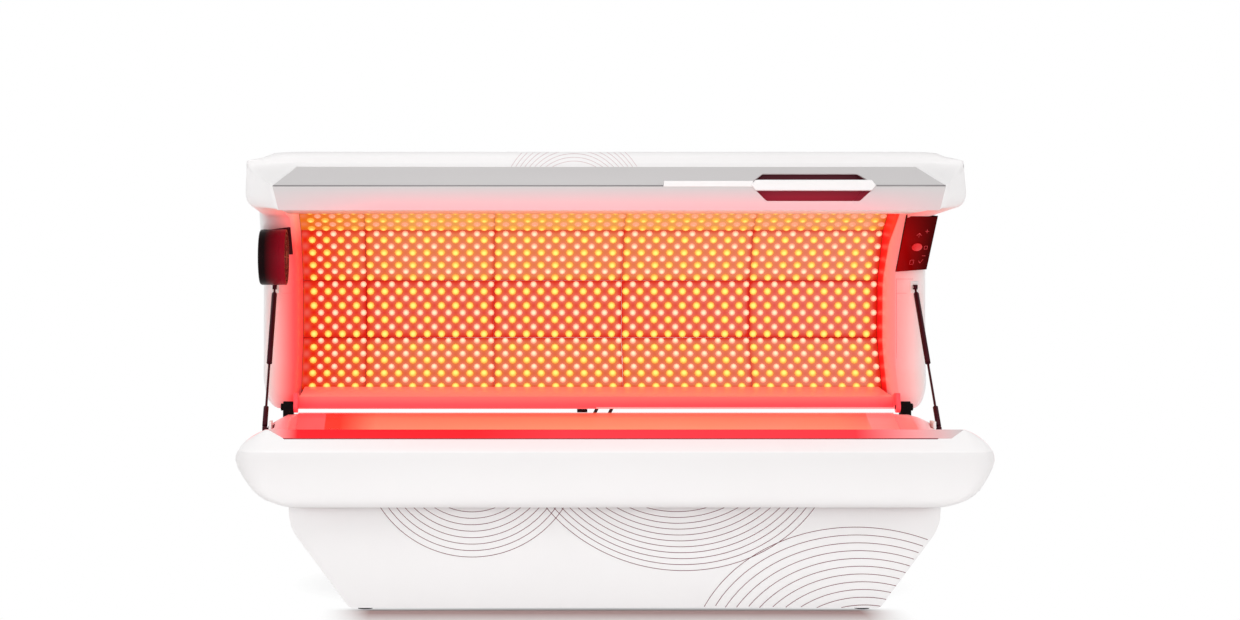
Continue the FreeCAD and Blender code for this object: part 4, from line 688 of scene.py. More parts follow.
def cut_boxes(piece, boxes):
    """Cut box-shaped pockets out of a closed piece."""
    points, faces = [], []
    for low, high in boxes:
        faces += shifted(BOX_FACES, len(points))
        points += [(x, y, z) for x in (low[0], high[0]) for y in (low[1], high[1]) for z in (low[2], high[2])]
    cutter = new_piece("pocket_cutter", points, faces, "white_gloss")
    modifier = piece.modifiers.new("pockets", "BOOLEAN")
    modifier.operation = "DIFFERENCE"
    modifier.solver = "EXACT"
    modifier.object = cutter
    applied(piece)
    bpy.data.objects.remove(cutter)


def finished(piece, body, slot, *nodes):
    """Let a piece ride on its body and stand for its CAD nodes."""
    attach(piece, body)
    if nodes:
        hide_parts(*nodes)
    return piece


def dress(finish, edge, name):
    """Give a carried-over CAD node a finish and soften its edges."""
    node = NODES[name]
    node.data.materials.clear()
    node.data.materials.append(FINISHES[finish])
    weld = node.modifiers.new("weld", "WELD")
    weld.merge_threshold = 0.00001
    if edge:
        bevelled(node, edge, 2, 30.0)
    smooth(node, 30.0)


def lathe(profile, steps, foot):
    """Points and faces of a profile of (along, radius) pairs turned about an axis along X from its foot."""
    turns = [2 * math.pi * step / steps for step in range(steps)]
    points = [(foot[0] + along, foot[1] + radius * math.cos(turn), foot[2] + radius * math.sin(turn))
              for along, radius in profile for turn in turns]
    return points, grid_faces(len(profile), steps, True)


# Geometry node trees

class Tree(Graph):
    """A geometry node tree with named inputs, written the same way as a finish."""

    def __init__(self, name, **inputs):
        """Each input is given by its default number, or by the kind of a socket that has none."""
        self.group = bpy.data.node_groups.new(name, "GeometryNodeTree")
        super().__init__(self.group)
        self.sockets = {}
        for key, value in inputs.items():
            kind = value if isinstance(value, str) else "Int" if isinstance(value, int) else "Float"
            socket = self.group.interface.new_socket(key.replace("_", " "), in_out="INPUT",
                                                     socket_type="NodeSocket" + kind)
            if kind != value:
                socket.default_value = value
            self.sockets[key] = socket.identifier
        self.group.interface.new_socket("Geometry", in_out="OUTPUT", socket_type="NodeSocketGeometry")
        self.source = self.nodes.new("NodeGroupInput")
        self.result = self.nodes.new("NodeGroupOutput")

    def __getitem__(self, key):
        return Wire(self, self.source.outputs[key.replace("_", " ")])

    def index(self):
        return Wire(self, self.node("GeometryNodeInputIndex").outputs[0])

    def vector(self, x=0.0, y=0.0, z=0.0):
        return self.node("ShaderNodeCombineXYZ", {0: x, 1: y, 2: z}).outputs[0]

    def finish(self, geometry):
        """Realize the instances and set the material, as the last two nodes."""
        real = self.node("GeometryNodeRealizeInstances", {0: geometry})
        done = self.node("GeometryNodeSetMaterial", {"Geometry": real.outputs[0], "Material": self["Material"]})
        self.links.new(done.outputs[0], self.result.inputs[0])
        return self

    def build(self, name, **values):
        """Run the tree with these inputs and keep its result as a plain mesh piece."""
        holder = bpy.data.objects.new(name + "_maker", bpy.data.meshes.new(name + "_maker"))
        bpy.context.scene.collection.objects.link(holder)
        modifier = holder.modifiers.new("maker", "NODES")
        modifier.node_group = self.group
        for key, value in values.items():
            modifier[self.sockets[key]] = value
        scene = bpy.context.evaluated_depsgraph_get()
        mesh = bpy.data.meshes.new_from_object(holder.evaluated_get(scene))
        bpy.data.objects.remove(holder)
        mesh.name = name
        piece = bpy.data.objects.new(name, mesh)
        bpy.context.scene.collection.objects.link(piece)
        if not mesh.polygons:
            raise RuntimeError("the node tree made no faces for " + name)
        return piece


def lens_tree():
    """Lenses in even rows on flat facets round an arc."""
    tree = Tree("lens_rows", Lens="Object", Material="Material", Columns=40, Rows=4, Facets=5, Pitch=0.05, First_X=0.0,
                First_Row=0.0, Centre_Y=0.0, Centre_Z=0.0, Face=0.4, Low_Angle=0.0, Step_Angle=0.5)
    columns, rows, pitch, face = tree["Columns"], tree["Rows"], tree["Pitch"], tree["Face"]
    points = tree.node("GeometryNodePoints", {"Count": columns * rows * tree["Facets"]})
    index = tree.index()
    column = tree.math("FLOORED_MODULO", index, columns)
    line = tree.math("FLOOR", index / columns)
    row = tree.math("FLOORED_MODULO", line, rows)
    facet = tree.math("FLOOR", line / rows)
    angle = tree["Low_Angle"] + tree["Step_Angle"] * (facet + 0.5)
    offset = tree["First_Row"] + row * pitch
    cosine, sine = tree.math("COSINE", angle), tree.math("SINE", angle)
    place = tree.vector(tree["First_X"] + column * pitch,
                        tree["Centre_Y"] + face * cosine - offset * sine,
                        tree["Centre_Z"] + face * sine + offset * cosine)
    moved = tree.node("GeometryNodeSetPosition", {"Geometry": points.outputs[0], "Position": place})
    lens = tree.node("GeometryNodeObjectInfo", {"Object": tree["Lens"]})
    spread = tree.node("GeometryNodeInstanceOnPoints",
                       {"Points": moved.outputs[0], "Instance": lens.outputs["Geometry"],
                        "Rotation": tree.vector(angle + math.pi / 2)})
    return tree.finish(spread.outputs[0])


def ripple_tree():
    """Concentric arcs as thin ribbons, cast along +Y onto a surface and cut off at its edge."""
    tree = Tree("ripple_lines", Surface="Object", Material="Material", Count=8, Centre="Vector", First_Radius=0.1,
                Spacing=0.02, Start=0.0, Sweep=3.0, Fan=0.0, Squash=1.0, Width=0.001)
    points = tree.node("GeometryNodePoints", {"Count": tree["Count"], "Position": tree["Centre"]})
    index = tree.index()
    arc = tree.node("GeometryNodeCurveArc", {"Resolution": 160, "Radius": 1.0, "Start Angle": tree["Start"],
                                             "Sweep Angle": tree["Sweep"]})
    size = tree["First_Radius"] + index * tree["Spacing"]
    spread = tree.node("GeometryNodeInstanceOnPoints",
                       {"Points": points.outputs[0], "Instance": arc.outputs[0],
                        "Rotation": tree.vector(math.pi / 2, index * tree["Fan"]),
                        "Scale": tree.vector(size, size * tree["Squash"], size)})
    real = tree.node("GeometryNodeRealizeInstances", {0: spread.outputs[0]})
    back = tree.vector(0.0, 1.0, 0.0)
    upright = tree.node("GeometryNodeSetCurveNormal", {"Curve": real.outputs[0], "Normal": back}, mode="FREE")
    width = tree["Width"]
    rib = tree.node("GeometryNodeCurvePrimitiveLine",
                    {"Start": tree.vector(0.0, width * -0.5), "End": tree.vector(0.0, width * 0.5)})
    ribbon = tree.node("GeometryNodeCurveToMesh", {"Curve": upright.outputs[0], "Profile Curve": rib.outputs[0]})
    surface = tree.node("GeometryNodeObjectInfo", {"Object": tree["Surface"]})
    cast = tree.node("GeometryNodeRaycast", {"Target Geometry": surface.outputs["Geometry"], "Ray Direction": back,
                                             "Ray Length": 2.0})
    miss = tree.node("FunctionNodeBooleanMath", {0: cast.outputs["Is Hit"]}, operation="NOT")
    spot = tree.node("ShaderNodeVectorMath", {0: cast.outputs["Hit Position"], 1: tree.vector(0.0, -0.0004, 0.0)},
                     operation="ADD")
    kept = tree.node("GeometryNodeDeleteGeometry", {"Geometry": ribbon.outputs[0], "Selection": miss.outputs[0]},
                     domain="POINT")
    laid = tree.node("GeometryNodeSetPosition", {"Geometry": kept.outputs[0], "Position": spot.outputs[0]})
    return tree.finish(laid.outputs[0])


# Pieces

def facet_boards(name, finish, body, node, arc, seams, gap):
    """Flat circuit boards round an arc; U runs along the bed, V holds facet number and place."""
    points, faces, marks = [], [], []
    half = arc.face * math.tan(arc.step / 2) - gap
    for facet in range(FACETS):
        angle = arc.low + arc.step * (facet + 0.5)
        out = Vector((math.cos(angle), math.sin(angle)))
        up = Vector((-out.y, out.x))
        for left, right in zip(seams, seams[1:]):
            faces += shifted(BOX_FACES, len(points))
            for depth in (0.0, BOARD_THICKNESS):
                for across in (-half, half):
                    for along in (left + gap, right - gap):
                        spot = Vector(arc.centre) + out * (arc.face + depth) + up * across
                        points.append((along, spot.x, spot.y))
                        marks.append((along, facet + across))
    piece = new_piece(name, points, faces, finish, merge=0.0)
    layer = piece.data.uv_layers.new(name="board")
    for loop in piece.data.loops:
        layer.data[loop.index].uv = marks[loop.vertex_index]
    finished(piece, body, "lamp_board", node)


def lens_form(radius, rise):
    """Low dome on a short collar, standing on +Z, that knows how near its rim each point lies."""
    sides = 8
    profile = ((1.04, -0.0003), (1.0, rise * 0.35), (0.72, rise * 0.82), (0.36, rise * 0.97))
    turns = [2 * math.pi * s / sides for s in range(sides)]
    points = [(r * radius * math.cos(turn), r * radius * math.sin(turn), z) for r, z in profile for turn in turns]
    points.append((0.0, 0.0, rise))
    top = (len(profile) - 1) * sides
    faces = grid_faces(len(profile), sides, True)
    faces += [(top + s, top + (s + 1) % sides, len(points) - 1) for s in range(sides)]
    form = new_piece("lens_form", points, faces, "amber_lens", 80.0)
    rim = form.data.attributes.new("rim", "FLOAT", "POINT")
    for vertex in form.data.vertices:
        rim.data[vertex.index].value = min(vertex.co.xy.length / radius, 1.0)
    return form


def lenses(body, place, kind, radius, settings, first_x, first_row, columns, arc):
    """All lenses of one kind on the boards of an arc."""
    name = place + "_lenses_" + kind
    form = lens_form(radius, settings.lens_rise)
    piece = lens_tree().build(name, Lens=form, Material=FINISHES[kind + "_lens"], Columns=columns, Rows=settings.rows,
                              Facets=FACETS, Pitch=settings.pitch, First_X=first_x, First_Row=first_row,
                              Centre_Y=arc.centre[0], Centre_Z=arc.centre[1], Face=arc.face, Low_Angle=arc.low,
                              Step_Angle=arc.step)
    bpy.data.objects.remove(form)
    smooth(piece, 80.0)
    finished(piece, body, "light_diffuser")


class LIGHTBED_OT_hood(bpy.types.Operator):
    """White canopy moulding in one skin: visor nose, crown, back, end walls and end flanges"""
    bl_idname = "lightbed.hood"
    bl_label = "Canopy Hood"
    rows = 150
    visor_rows = 9
    # Steps at each end: round the corner, down the wall and round the flange's edge
    bend_steps, wall_steps, edge_steps = 6, 4, 6
    # Height up to which the lower rear corners are rounded off, and by how much at the lip
    foot_height = 0.14
    foot_inset = 0.075

    def execute(self, context):
        sizes = context.scene.light_bed.canopy
        skin, marks = self.skin(sizes)
        rows = self.visor(skin, marks) + skin
        columns = len(skin[0])
        points = [Vector((x, y + HINGE_Y, z + HINGE_Z)) for row in rows for x, y, z in row]
        faces = grid_faces(len(rows), columns)
        for start in range(0, self.visor_rows * columns, columns):
            faces.append((start, start + columns, start + 2 * columns - 1, start + columns - 1))
        piece = new_piece("canopy_hood", points, faces, "white_hood", 50.0, facing=(0.0, 0.2, 1.0))
        thicken(piece, sizes.wall)
        finished(piece, "canopy", "white_gloss", "canopy_shell", "canopy_end_flange_right", "canopy_end_flange_left",
                 "visor_nose")
        return {"FINISHED"}

    def skin(self, sizes):
        """Rows from the visor's top edge over the crown to the lip, and each column's place on the trim's end."""
        outer = resampled(rounded(HOOD_LINE, 12), self.rows)
        inner = resampled(rounded(FLANGE_LINE, 12), self.rows)
        rows = []
        for row, (top, out, edge, face) in enumerate(zip(outer, normals(outer, 1), inner, normals(inner, -1))):
            half = sizes.half
            low = edge.y - FLANGE_LINE[-1][1]
            if row > self.rows // 2 and low < self.foot_height:
                share = (self.foot_height - low) / self.foot_height
                half -= self.foot_inset * (1.0 - math.sqrt(1.0 - share ** 2))
            rows.append(mirrored([Vector((x, p.x, p.y)) for x, p in self.side(sizes, half, top, out, edge, face)]))
        upper = len(CROWN_SLOPE) + self.bend_steps
        lower = self.wall_steps + self.edge_steps + 2
        marks = [k / upper for k in range(upper + 1)] + [1.0 + (k + 1) / lower for k in range(lower)]
        return rows, marks

    def side(self, sizes, half, top, out, edge, face):
        """Right half of one row, from the crown over the end wall to the flange's inner edge."""
        apart = (top - edge).length
        strength = max(out.y, 0.6 * out.x, -0.5 * out.x, 0.3)
        fall = min(sizes.crown_fall * strength, apart * 0.2)
        corner = min(sizes.corner * (0.5 + 0.5 * strength), apart * 0.25)
        lip = min(sizes.edge_round + sizes.visor_round * smooth_step(0.58, 0.64, edge.y), apart * 0.4)
        slope_start = half - sizes.crown_run
        line = [(slope_start + (sizes.crown_run - corner) * share, self.tucked(top, out, fall * down))
                for share, down in CROWN_SLOPE]
        for k in range(self.bend_steps + 1):
            t = k / self.bend_steps
            drop = fall + corner * (2 * t * (1.0 - t) * 0.2 + t * t)
            line.append((half - corner * (1.0 - t) ** 2, self.tucked(top, out, drop)))
        start = self.tucked(top, out, fall + corner)
        end = edge - face * lip
        line += [(half, start.lerp(end, (k + 1) / (self.wall_steps + 1))) for k in range(self.wall_steps)]
        for k in range(self.edge_steps + 1):
            angle = math.pi / 2 * k / self.edge_steps
            line.append((half - lip * 0.75 * (1.0 - math.cos(angle)), edge - face * lip * (1.0 - math.sin(angle))))
        return line + [(sizes.flange_inner, edge)]

    @staticmethod
    def tucked(point, out, drop):
        """The point moved in by a drop, kept from folding over at the hood's front edge."""
        spot = point - out * drop
        return Vector((max(spot.x, HOOD_LINE[1][0] + drop), min(spot.y, HOOD_LINE[1][1] - drop)))

    def visor(self, skin, marks):
        """Rows from the outline of the silver trim back to the first row of the skin."""
        top, ridge, low = Vector(TRIM_TOP), Vector(TRIM_RIDGE), Vector(TRIM_LOW)
        outline = mirrored([top.lerp(ridge, m) if m <= 1.0 else ridge.lerp(low, m - 1.0) for m in marks])
        rows = []
        for step in range(self.visor_rows, 0, -1):
            row = []
            for here, behind, goal in zip(skin[0], skin[1], outline):
                chord = goal - here
                lead = (here - behind).normalized() * chord.length * 0.35
                row.append(hermite(step / self.visor_rows, here, lead, goal, chord))
            rows.append(row)
        return rows


class LIGHTBED_OT_trim(bpy.types.Operator):
    """Silver trim on the visor with the handle recess, grip bar and light strip"""
    bl_idname = "lightbed.trim"
    bl_label = "Visor Trim and Handle"
    # Outlines seen from the front as (along, height over the hinge), with the radius of a rounded corner
    ridge = TRIM_RIDGE[2]
    recess_above = ((0.4435, ridge), (0.4435, 0.7235), (0.4815, 0.751, 0.014), (0.775, 0.751, 0.014),
                    (0.8045, 0.7235), (0.8045, ridge))
    recess_below = ((0.4435, ridge), (0.4485, 0.6945), (0.481, 0.6613, 0.014), (0.767, 0.6613, 0.014),
                    (0.803, 0.6945), (0.8045, ridge))
    grip = ((0.434, 0.7095), (0.447, 0.7262), (0.803, 0.7262), (0.816, 0.7095), (0.803, 0.6928), (0.447, 0.6928))
    strip = ((0.167, 0.7048), (0.167, 0.7231), (0.440, 0.7231), (0.440, 0.7048))
    bar_back = -0.590
    # Middle of the recess, and how much its back is drawn in towards it
    recess_middle = (0.626, 0.706)
    recess_taper = (0.96, 0.92)
    recess_back = -0.505

    def execute(self, context):
        above, below = rounded(self.recess_above, 5), rounded(self.recess_below, 5)
        self.trim(above, below)
        self.recess(above + below[-2:0:-1])
        for name, node, outline, front, edge in (("handle_grip", "grip_bar", self.grip, -0.6165, 0.004),
                                                 ("visor_light", "light_strip", self.strip, -0.6125, 0.002)):
            loops = [[self.at(x, y, z) for x, z in outline] for y in (front, self.bar_back)]
            finished(slab(name, *loops, "light_diffuser", edge), "canopy", "light_diffuser", node)
        self.seam()
        return {"FINISHED"}

    @staticmethod
    def at(x, y, z):
        return Vector((x, y + HINGE_Y, z + HINGE_Z))

    def on_trim(self, x, z):
        """Point of the trim's two faces at this place."""
        fall = (TRIM_TOP[1] - TRIM_RIDGE[1]) / (TRIM_TOP[2] - TRIM_RIDGE[2])
        return self.at(x, TRIM_RIDGE[1] + max(z - TRIM_RIDGE[2], 0.0) * fall, z)

    def trim(self, above, below):
        """Upper and lower face of the trim, round the recess."""
        points = [self.at(side * x, y, z) for side, (x, y, z) in
                  ((-1, TRIM_TOP), (1, TRIM_TOP), (1, TRIM_RIDGE), (1, TRIM_LOW), (-1, TRIM_LOW), (-1, TRIM_RIDGE))]
        first = len(points)
        second = first + len(above)
        points += [self.on_trim(p.x, p.y) for p in above + below]
        upper = [0, 1, 2] + list(range(second - 1, first - 1, -1)) + [5]
        lower = [2, 3, 4, 5] + list(range(second, len(points)))
        piece = new_piece("visor_trim", points, [upper, lower], "silver_trim", 20.0, facing=(0.0, -1.0, 0.3))
        thicken(piece, 0.004)
        bevelled(piece, 0.0016, 3, 12.0)
        finished(piece, "canopy", "silver_trim", "front_trim")

    def recess(self, rim):
        """Cup behind the grip bar, from its rim to a smaller back."""
        (x, z), (along, up) = self.recess_middle, self.recess_taper
        front = [self.on_trim(p.x, p.y) + Vector((0.0, 0.002, 0.0)) for p in rim]
        back = [self.at(x + (p.x - x) * along, self.recess_back, z + (p.y - z) * up) for p in rim]
        count = len(rim)
        faces = grid_faces(2, count, True) + [tuple(range(count, 2 * count))]
        cup = new_piece("handle_recess", front + back, faces, "handle_burgundy", 30.0, facing=(0.0, -1.0, 0.0))
        finished(cup, "canopy", "burgundy_plastic", "handle_cup")

    def seam(self):
        """Painted shade along the ridge: a fine grey line on both sides of the bars."""
        points = [self.at(x, y, TRIM_RIDGE[2] + z) for ends in ((-1.029, 0.165), (0.818, 1.029))
                  for y, z in ((-0.6108, -0.0016), (-0.6082, 0.0022)) for x in ends]
        piece = new_piece("visor_trim_seam", points, [(0, 1, 3, 2), (4, 5, 7, 6)], "grey_seam",
                          facing=(0.0, -1.0, 0.5))
        thicken(piece, 0.001)
        finished(piece, "canopy", "silver_trim")


class LIGHTBED_OT_bench(bpy.types.Operator):
    """White bench moulding with its nose all round, deck, bed opening and pockets"""
    bl_idname = "lightbed.bench"
    bl_label = "Bench Moulding"
    corner_steps = 10
    end_steps = 30
    # How far the underside runs in from the lower edge
    underside = 0.058
    # Half length, front, rear and corner radius of the bed opening, then how its rows grow from that and drop
    opening = (1.006, -0.641, 0.291, 0.010)
    opening_rows = ((0.005, 0.0), (0.0012, 0.0012), (0.0, 0.005), (0.0, 0.110))
    # Length, depth and height of the pockets for a strut bracket and a hinge block
    pockets = (((1.054, 1.104), (-0.055, 0.009), (0.473, 0.560)), ((1.014, 1.052), (0.216, 0.258), (0.487, 0.560)))

    def execute(self, context):
        sizes = context.scene.light_bed.bench
        rows = []
        for share, under in [(0.0, self.underside)] + [(share, 0.0) for share in BENCH_LEVELS]:
            end = curve_value(END_NOSE, share) + 0.3 * under
            half = sizes.half - end
            front = sizes.front + (curve_value(FRONT_NOSE, share) + under)
            rear = sizes.rear - 0.1 * end
            corner = max(sizes.front_corner - end, 0.012 if share > 0.5 else 0.040)
            rows.append(self.loop(half, front, rear, corner, sizes.rear_corner, sizes.floor + share * sizes.height))
        half, front, rear, corner = self.opening
        for grow, drop in self.opening_rows:
            rows.append(self.loop(half + grow, front - grow, rear + grow, corner + grow, corner + grow,
                                  sizes.floor + sizes.height - drop))
        points = [p for row in rows for p in row]
        faces = grid_faces(len(rows), len(rows[0]), True)
        piece = new_piece("bench_moulding", points, faces, "white_bench", 32.0, facing="OUT")
        thicken(piece, sizes.wall)
        applied(piece)
        boxes = []
        for side in (-1, 1):
            for along, depth, height in self.pockets:
                boxes.append(tuple(zip(sorted(side * x for x in along), depth, height)))
        cut_boxes(piece, boxes)
        smooth(piece, 32.0)
        finished(piece, "base", "white_gloss", "bench_tub")
        self.rim(sizes)
        return {"FINISHED"}

    def loop(self, half, front, rear, front_corner, rear_corner, z):
        """One level of the moulding, with points along its ends for their dip."""
        line = rounded(((-half, front, front_corner), (half, front, front_corner), (half, rear, rear_corner),
                        (-half, rear, rear_corner)), self.corner_steps, True)
        turn = 2 * (self.corner_steps + 1)
        shares = [k / self.end_steps for k in range(1, self.end_steps)]
        right = [line[turn - 1].lerp(line[turn], share) for share in shares]
        left = [line[-1].lerp(line[0], share) for share in shares]
        return [(p.x, p.y, self.sunk(p.y, z)) for p in line[:turn] + right + line[turn:] + left]

    @staticmethod
    def sunk(y, z):
        """Height of a point of the deck, which dips beside the bed and lies a little lower behind it."""
        dip = smooth_step(-0.622, -0.520, y) * (1.0 - smooth_step(-0.130, 0.010, y))
        return (z - 0.006 * smooth_step(0.15, 0.29, y) * smooth_step(0.48, 0.53, z)
                - 0.040 * dip * smooth_step(0.42, 0.53, z))

    @staticmethod
    def rim(sizes):
        """Silver strip along the front rim, lying on the bench's upper bevel, and a dark strip under it as a painted
        shadow line.
        """
        strip = ((-1.0155, 0.5355), (1.0170, 0.5355), (0.9770, 0.5115), (-0.9690, 0.5115))
        # The dark strip is a painted shadow line under the silver strip
        painted_shadow_strip = ((-0.9720, 0.5122), (0.9400, 0.5122), (0.9360, 0.5094), (-0.9680, 0.5094))
        for name, corners, lift, finish, nodes in (("bench_rim_trim", strip, 0.0012, "rim_trim", ["front_rim_trim"]),
                                                   ("bench_rim_seal", painted_shadow_strip, 0.0008, "dark_seam", [])):
            front, back = [], []
            for x, z in corners:
                y = sizes.front + curve_value(FRONT_NOSE, min((z - sizes.floor) / sizes.height, 1.0))
                front.append((x, y - lift, z + lift * 0.9))
                back.append((x, y + 0.0024, z - 0.0022))
            finished(slab(name, front, back, finish, lift * 0.5), "base", "silver_trim", *nodes)


class LIGHTBED_OT_lamps(bpy.types.Operator):
    """Lamp boards and lenses of the canopy"""
    bl_idname = "lightbed.lamps"
    bl_label = "Canopy Lamps"

    def execute(self, context):
        sizes = context.scene.light_bed.lamps
        arc = Arc((0.208, 0.869), 0.403, math.radians(-40.0), math.radians(28.0))
        seams = [-BOARD_END] + [FIRST_SEAM + BOARD_LENGTH * k for k in range(4)] + [BOARD_END]
        facet_boards("canopy_lamp_boards", "lamp_board", "canopy", "lamp_boards", arc, seams, 0.0008)
        lenses("canopy", "canopy", "amber", sizes.amber_radius, sizes, -0.975, -0.0875, sizes.columns, arc)
        lenses("canopy", "canopy", "clear", sizes.clear_radius, sizes, -0.950, -0.0625, sizes.columns, arc)
        return {"FINISHED"}


class LIGHTBED_OT_trough(bpy.types.Operator):
    """White end walls between the canopy's flanges and the ends of its lamp boards"""
    bl_idname = "lightbed.trough"
    bl_label = "Lamp Trough Ends"
    count = 80

    def execute(self, context):
        sizes = context.scene.light_bed.canopy
        corners = [Vector((-0.029, 0.3125)) + Vector((math.cos(a), math.sin(a))) * 0.4153
                   for a in (math.radians(100 - 28 * k) for k in range(FACETS + 1))]
        deep = resampled(corners + [Vector((0.262, 0.008))], self.count)
        line = [p for p in rounded(FLANGE_LINE, 12) if p.x > -0.060 or p.y < 0.6]
        edge = resampled([Vector((-0.215, 0.6395))] + line, self.count)
        for side, name in SIDES:
            points = [(side * x, p.x + HINGE_Y, p.y + HINGE_Z) for line, x in
                      ((edge, sizes.flange_inner), (deep, BOARD_END + 0.0002)) for p in line]
            piece = new_piece("trough_wall_" + name, points, grid_faces(2, self.count), "white_wall", 60.0,
                              facing=(-side, 0.0, 0.0))
            thicken(piece, 0.0015)
            finished(piece, "canopy", "white_gloss", "trough_end_" + name)
        return {"FINISHED"}


class LIGHTBED_OT_bed_lamps(bpy.types.Operator):
    """Lamp boards and lenses under the bed sheet, with the white covers at its ends"""
    bl_idname = "lightbed.bed_lamps"
    bl_label = "Bed Lamps"
    # Middle and radius of the sheet's curve, and how far under it the boards lie
    centre = (-0.175, 1.4544)
    radius = 1.0294
    drop = 0.048
    cover_steps = 40
    cover_angle = math.radians(25.4)

    def execute(self, context):
        sizes = context.scene.light_bed.lamps
        face = self.radius + self.drop
        spread = math.asin((0.463 - 0.018) / (face + 0.004))
        arc = Arc(self.centre, face, -math.pi / 2 - spread, 2 * spread / FACETS)
        seams = [0.4625 * k for k in range(-2, 3)]
        facet_boards("bed_boards", "bed_lamp_board", "base", "bed_lamp_boards", arc, seams, 0.0012)
        lenses("base", "bed", "amber", sizes.amber_radius, sizes, -0.875, -0.075, 36, arc)
        lenses("base", "bed", "clear", sizes.clear_radius, sizes, -0.900, -0.050, 37, arc)
        for side, name in reversed(SIDES):
            self.cover(side, name)
        return {"FINISHED"}

    def cover(self, side, name):
        """Curved cover under one end of the sheet, turned down at its inner edge."""
        points = []
        for k in range(self.cover_steps + 1):
            angle = -math.pi / 2 + self.cover_angle * (2 * k / self.cover_steps - 1)
            out = Vector((math.cos(angle), math.sin(angle)))
            for x, depth in ((0.9105, 0.030), (0.9105, 0.0095), (0.914, 0.0095), (1.0045, 0.0095)):
                spot = Vector(self.centre) + out * (self.radius + depth)
                points.append((side * x, spot.x, spot.y))
        piece = new_piece("bed_end_cover_" + name, points, grid_faces(self.cover_steps + 1, 4), "white_cover",
                          facing=(0.0, 0.0, 1.0))
        thicken(piece, 0.0012)
        finished(piece, "base", "white_gloss")


class LIGHTBED_OT_print(bpy.types.Operator):
    """Thin ripple lines printed on the pedestal front and above the visor trim"""
    bl_idname = "lightbed.print"
    bl_label = "Line Print"
    # Count, middle, first radius, spacing, start, sweep, fan, squash and line width
    inputs = ("Count", "Centre", "First_Radius", "Spacing", "Start", "Sweep", "Fan", "Squash", "Width")
    pedestal_rings = (
        ("right", 15, (0.74, -1.0, -0.20), 0.15, 0.027, 0.20, 2.75, 0.012, 0.84, 0.0017),
        ("middle", 13, (0.18, -1.0, 0.56), 0.26, 0.019, 3.60, 2.4, 0.02, 0.9, 0.0017),
        ("left", 9, (-0.42, -1.0, 0.48), 0.17, 0.019, 3.45, 2.5, -0.02, 1.0, 0.0017))
    visor_rings = (9, (-0.10, -1.0, 1.22), 0.13, 0.012, 0.35, 2.5, 0.01, 1.0, 0.0014)

    def execute(self, context):
        tree = ripple_tree()
        for name, *rings in self.pedestal_rings:
            self.ripples(tree, "pedestal_ripples_" + name, "base", NODES["pedestal_front_panel"], "line_print", rings)
        hood = bpy.data.objects["canopy_hood"]
        self.ripples(tree, "visor_ripples", "canopy", hood, "line_print_pale", self.visor_rings)
        return {"FINISHED"}

    def ripples(self, tree, name, body, surface, ink, rings):
        piece = tree.build(name, Surface=surface, Material=FINISHES[ink], **dict(zip(self.inputs, rings)))
        finished(piece, body, "burgundy_plastic")


class LIGHTBED_OT_hoses(bpy.types.Operator):
    """Two ribbed cable hoses between the bench and the canopy"""
    bl_idname = "lightbed.hoses"
    bl_label = "Cable Hoses"
    sides, rings = 14, 22
    middles = (0.002, 0.052)
    groove, rib = 0.0058, 0.0066
    # Run of a hose along the bed and up, from its lower end
    run = Vector((0.028, 0.0, 0.057))

    def execute(self, context):
        tube = grid_faces(self.rings + 1, self.sides, True)
        tube += [tuple(range(self.sides)), tuple(self.rings * self.sides + i for i in range(self.sides))]
        turns = [2 * math.pi * s / self.sides for s in range(self.sides)]
        points, faces = [], []
        for middle in self.middles:
            faces += shifted(tube, len(points))
            for ring in range(self.rings + 1):
                spot = Vector((middle - self.run.x / 2, 0.309, 0.513)) + self.run * (ring / self.rings)
                radius = self.rib if ring % 2 else self.groove
                points += [spot + Vector((math.cos(turn), math.sin(turn), 0.0)) * radius for turn in turns]
        piece = new_piece("ribbed_cable_hoses", points, faces, "cable_rubber", 60.0)
        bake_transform(piece)
        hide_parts("cable_hoses")
        return {"FINISHED"}


class LIGHTBED_OT_fan(bpy.types.Operator):
    """Turned drum of the body fan, its mounting plate and the post between them"""
    bl_idname = "lightbed.fan"
    bl_label = "Body Fan"
    # Drum wall as (along, radius), from its foot
    profile = ((0.0040, 0.030), (0.0040, 0.0875), (0.0860, 0.0875), (0.0880, 0.0890), (0.0880, 0.0905),
               (0.0862, 0.0920), (0.0700, 0.0920), (0.0690, 0.0912), (0.0680, 0.0920), (0.0070, 0.0920),
               (0.0022, 0.0900), (0.0, 0.0860), (0.0, 0.030), (0.0040, 0.030))
    foot = (-1.120, 0.160, 1.057)
    # Corners of plate and post on the flange, and the way out from it
    plate = ((-1.100, 0.222, 1.1515), (-1.024, 0.212, 1.1600), (-1.024, 0.312, 1.0760), (-1.100, 0.312, 1.0760))
    post = ((-1.096, 0.2455, 1.1316), (-1.056, 0.2455, 1.1316), (-1.056, 0.2785, 1.1040), (-1.096, 0.2785, 1.1040))
    out = Vector((0.0, -0.6432, -0.7657))

    def execute(self, context):
        points, faces = lathe(self.profile, 72, self.foot)
        drum = new_piece("fan_drum_turned", points, faces, "drum_black", 32.0)
        finished(drum, "canopy", "black_gloss", "fan_drum")
        self.block("fan_mount", self.plate, (0.010, 0.010, 0.010, 0.010), 0.001, "fan_bracket")
        self.block("fan_post", self.post, (0.0226, 0.0226, 0.0440, 0.0440), 0.008)
        return {"FINISHED"}

    def block(self, name, corners, tops, foot, *nodes):
        """Block on the flange whose corners stand out to these heights."""
        front = [Vector(p) + self.out * top for p, top in zip(corners, tops)]
        back = [Vector(p) + self.out * foot for p in corners]
        finished(slab(name, front, back, "burgundy_plastic", 0.0015), "canopy", "burgundy_plastic", *nodes)


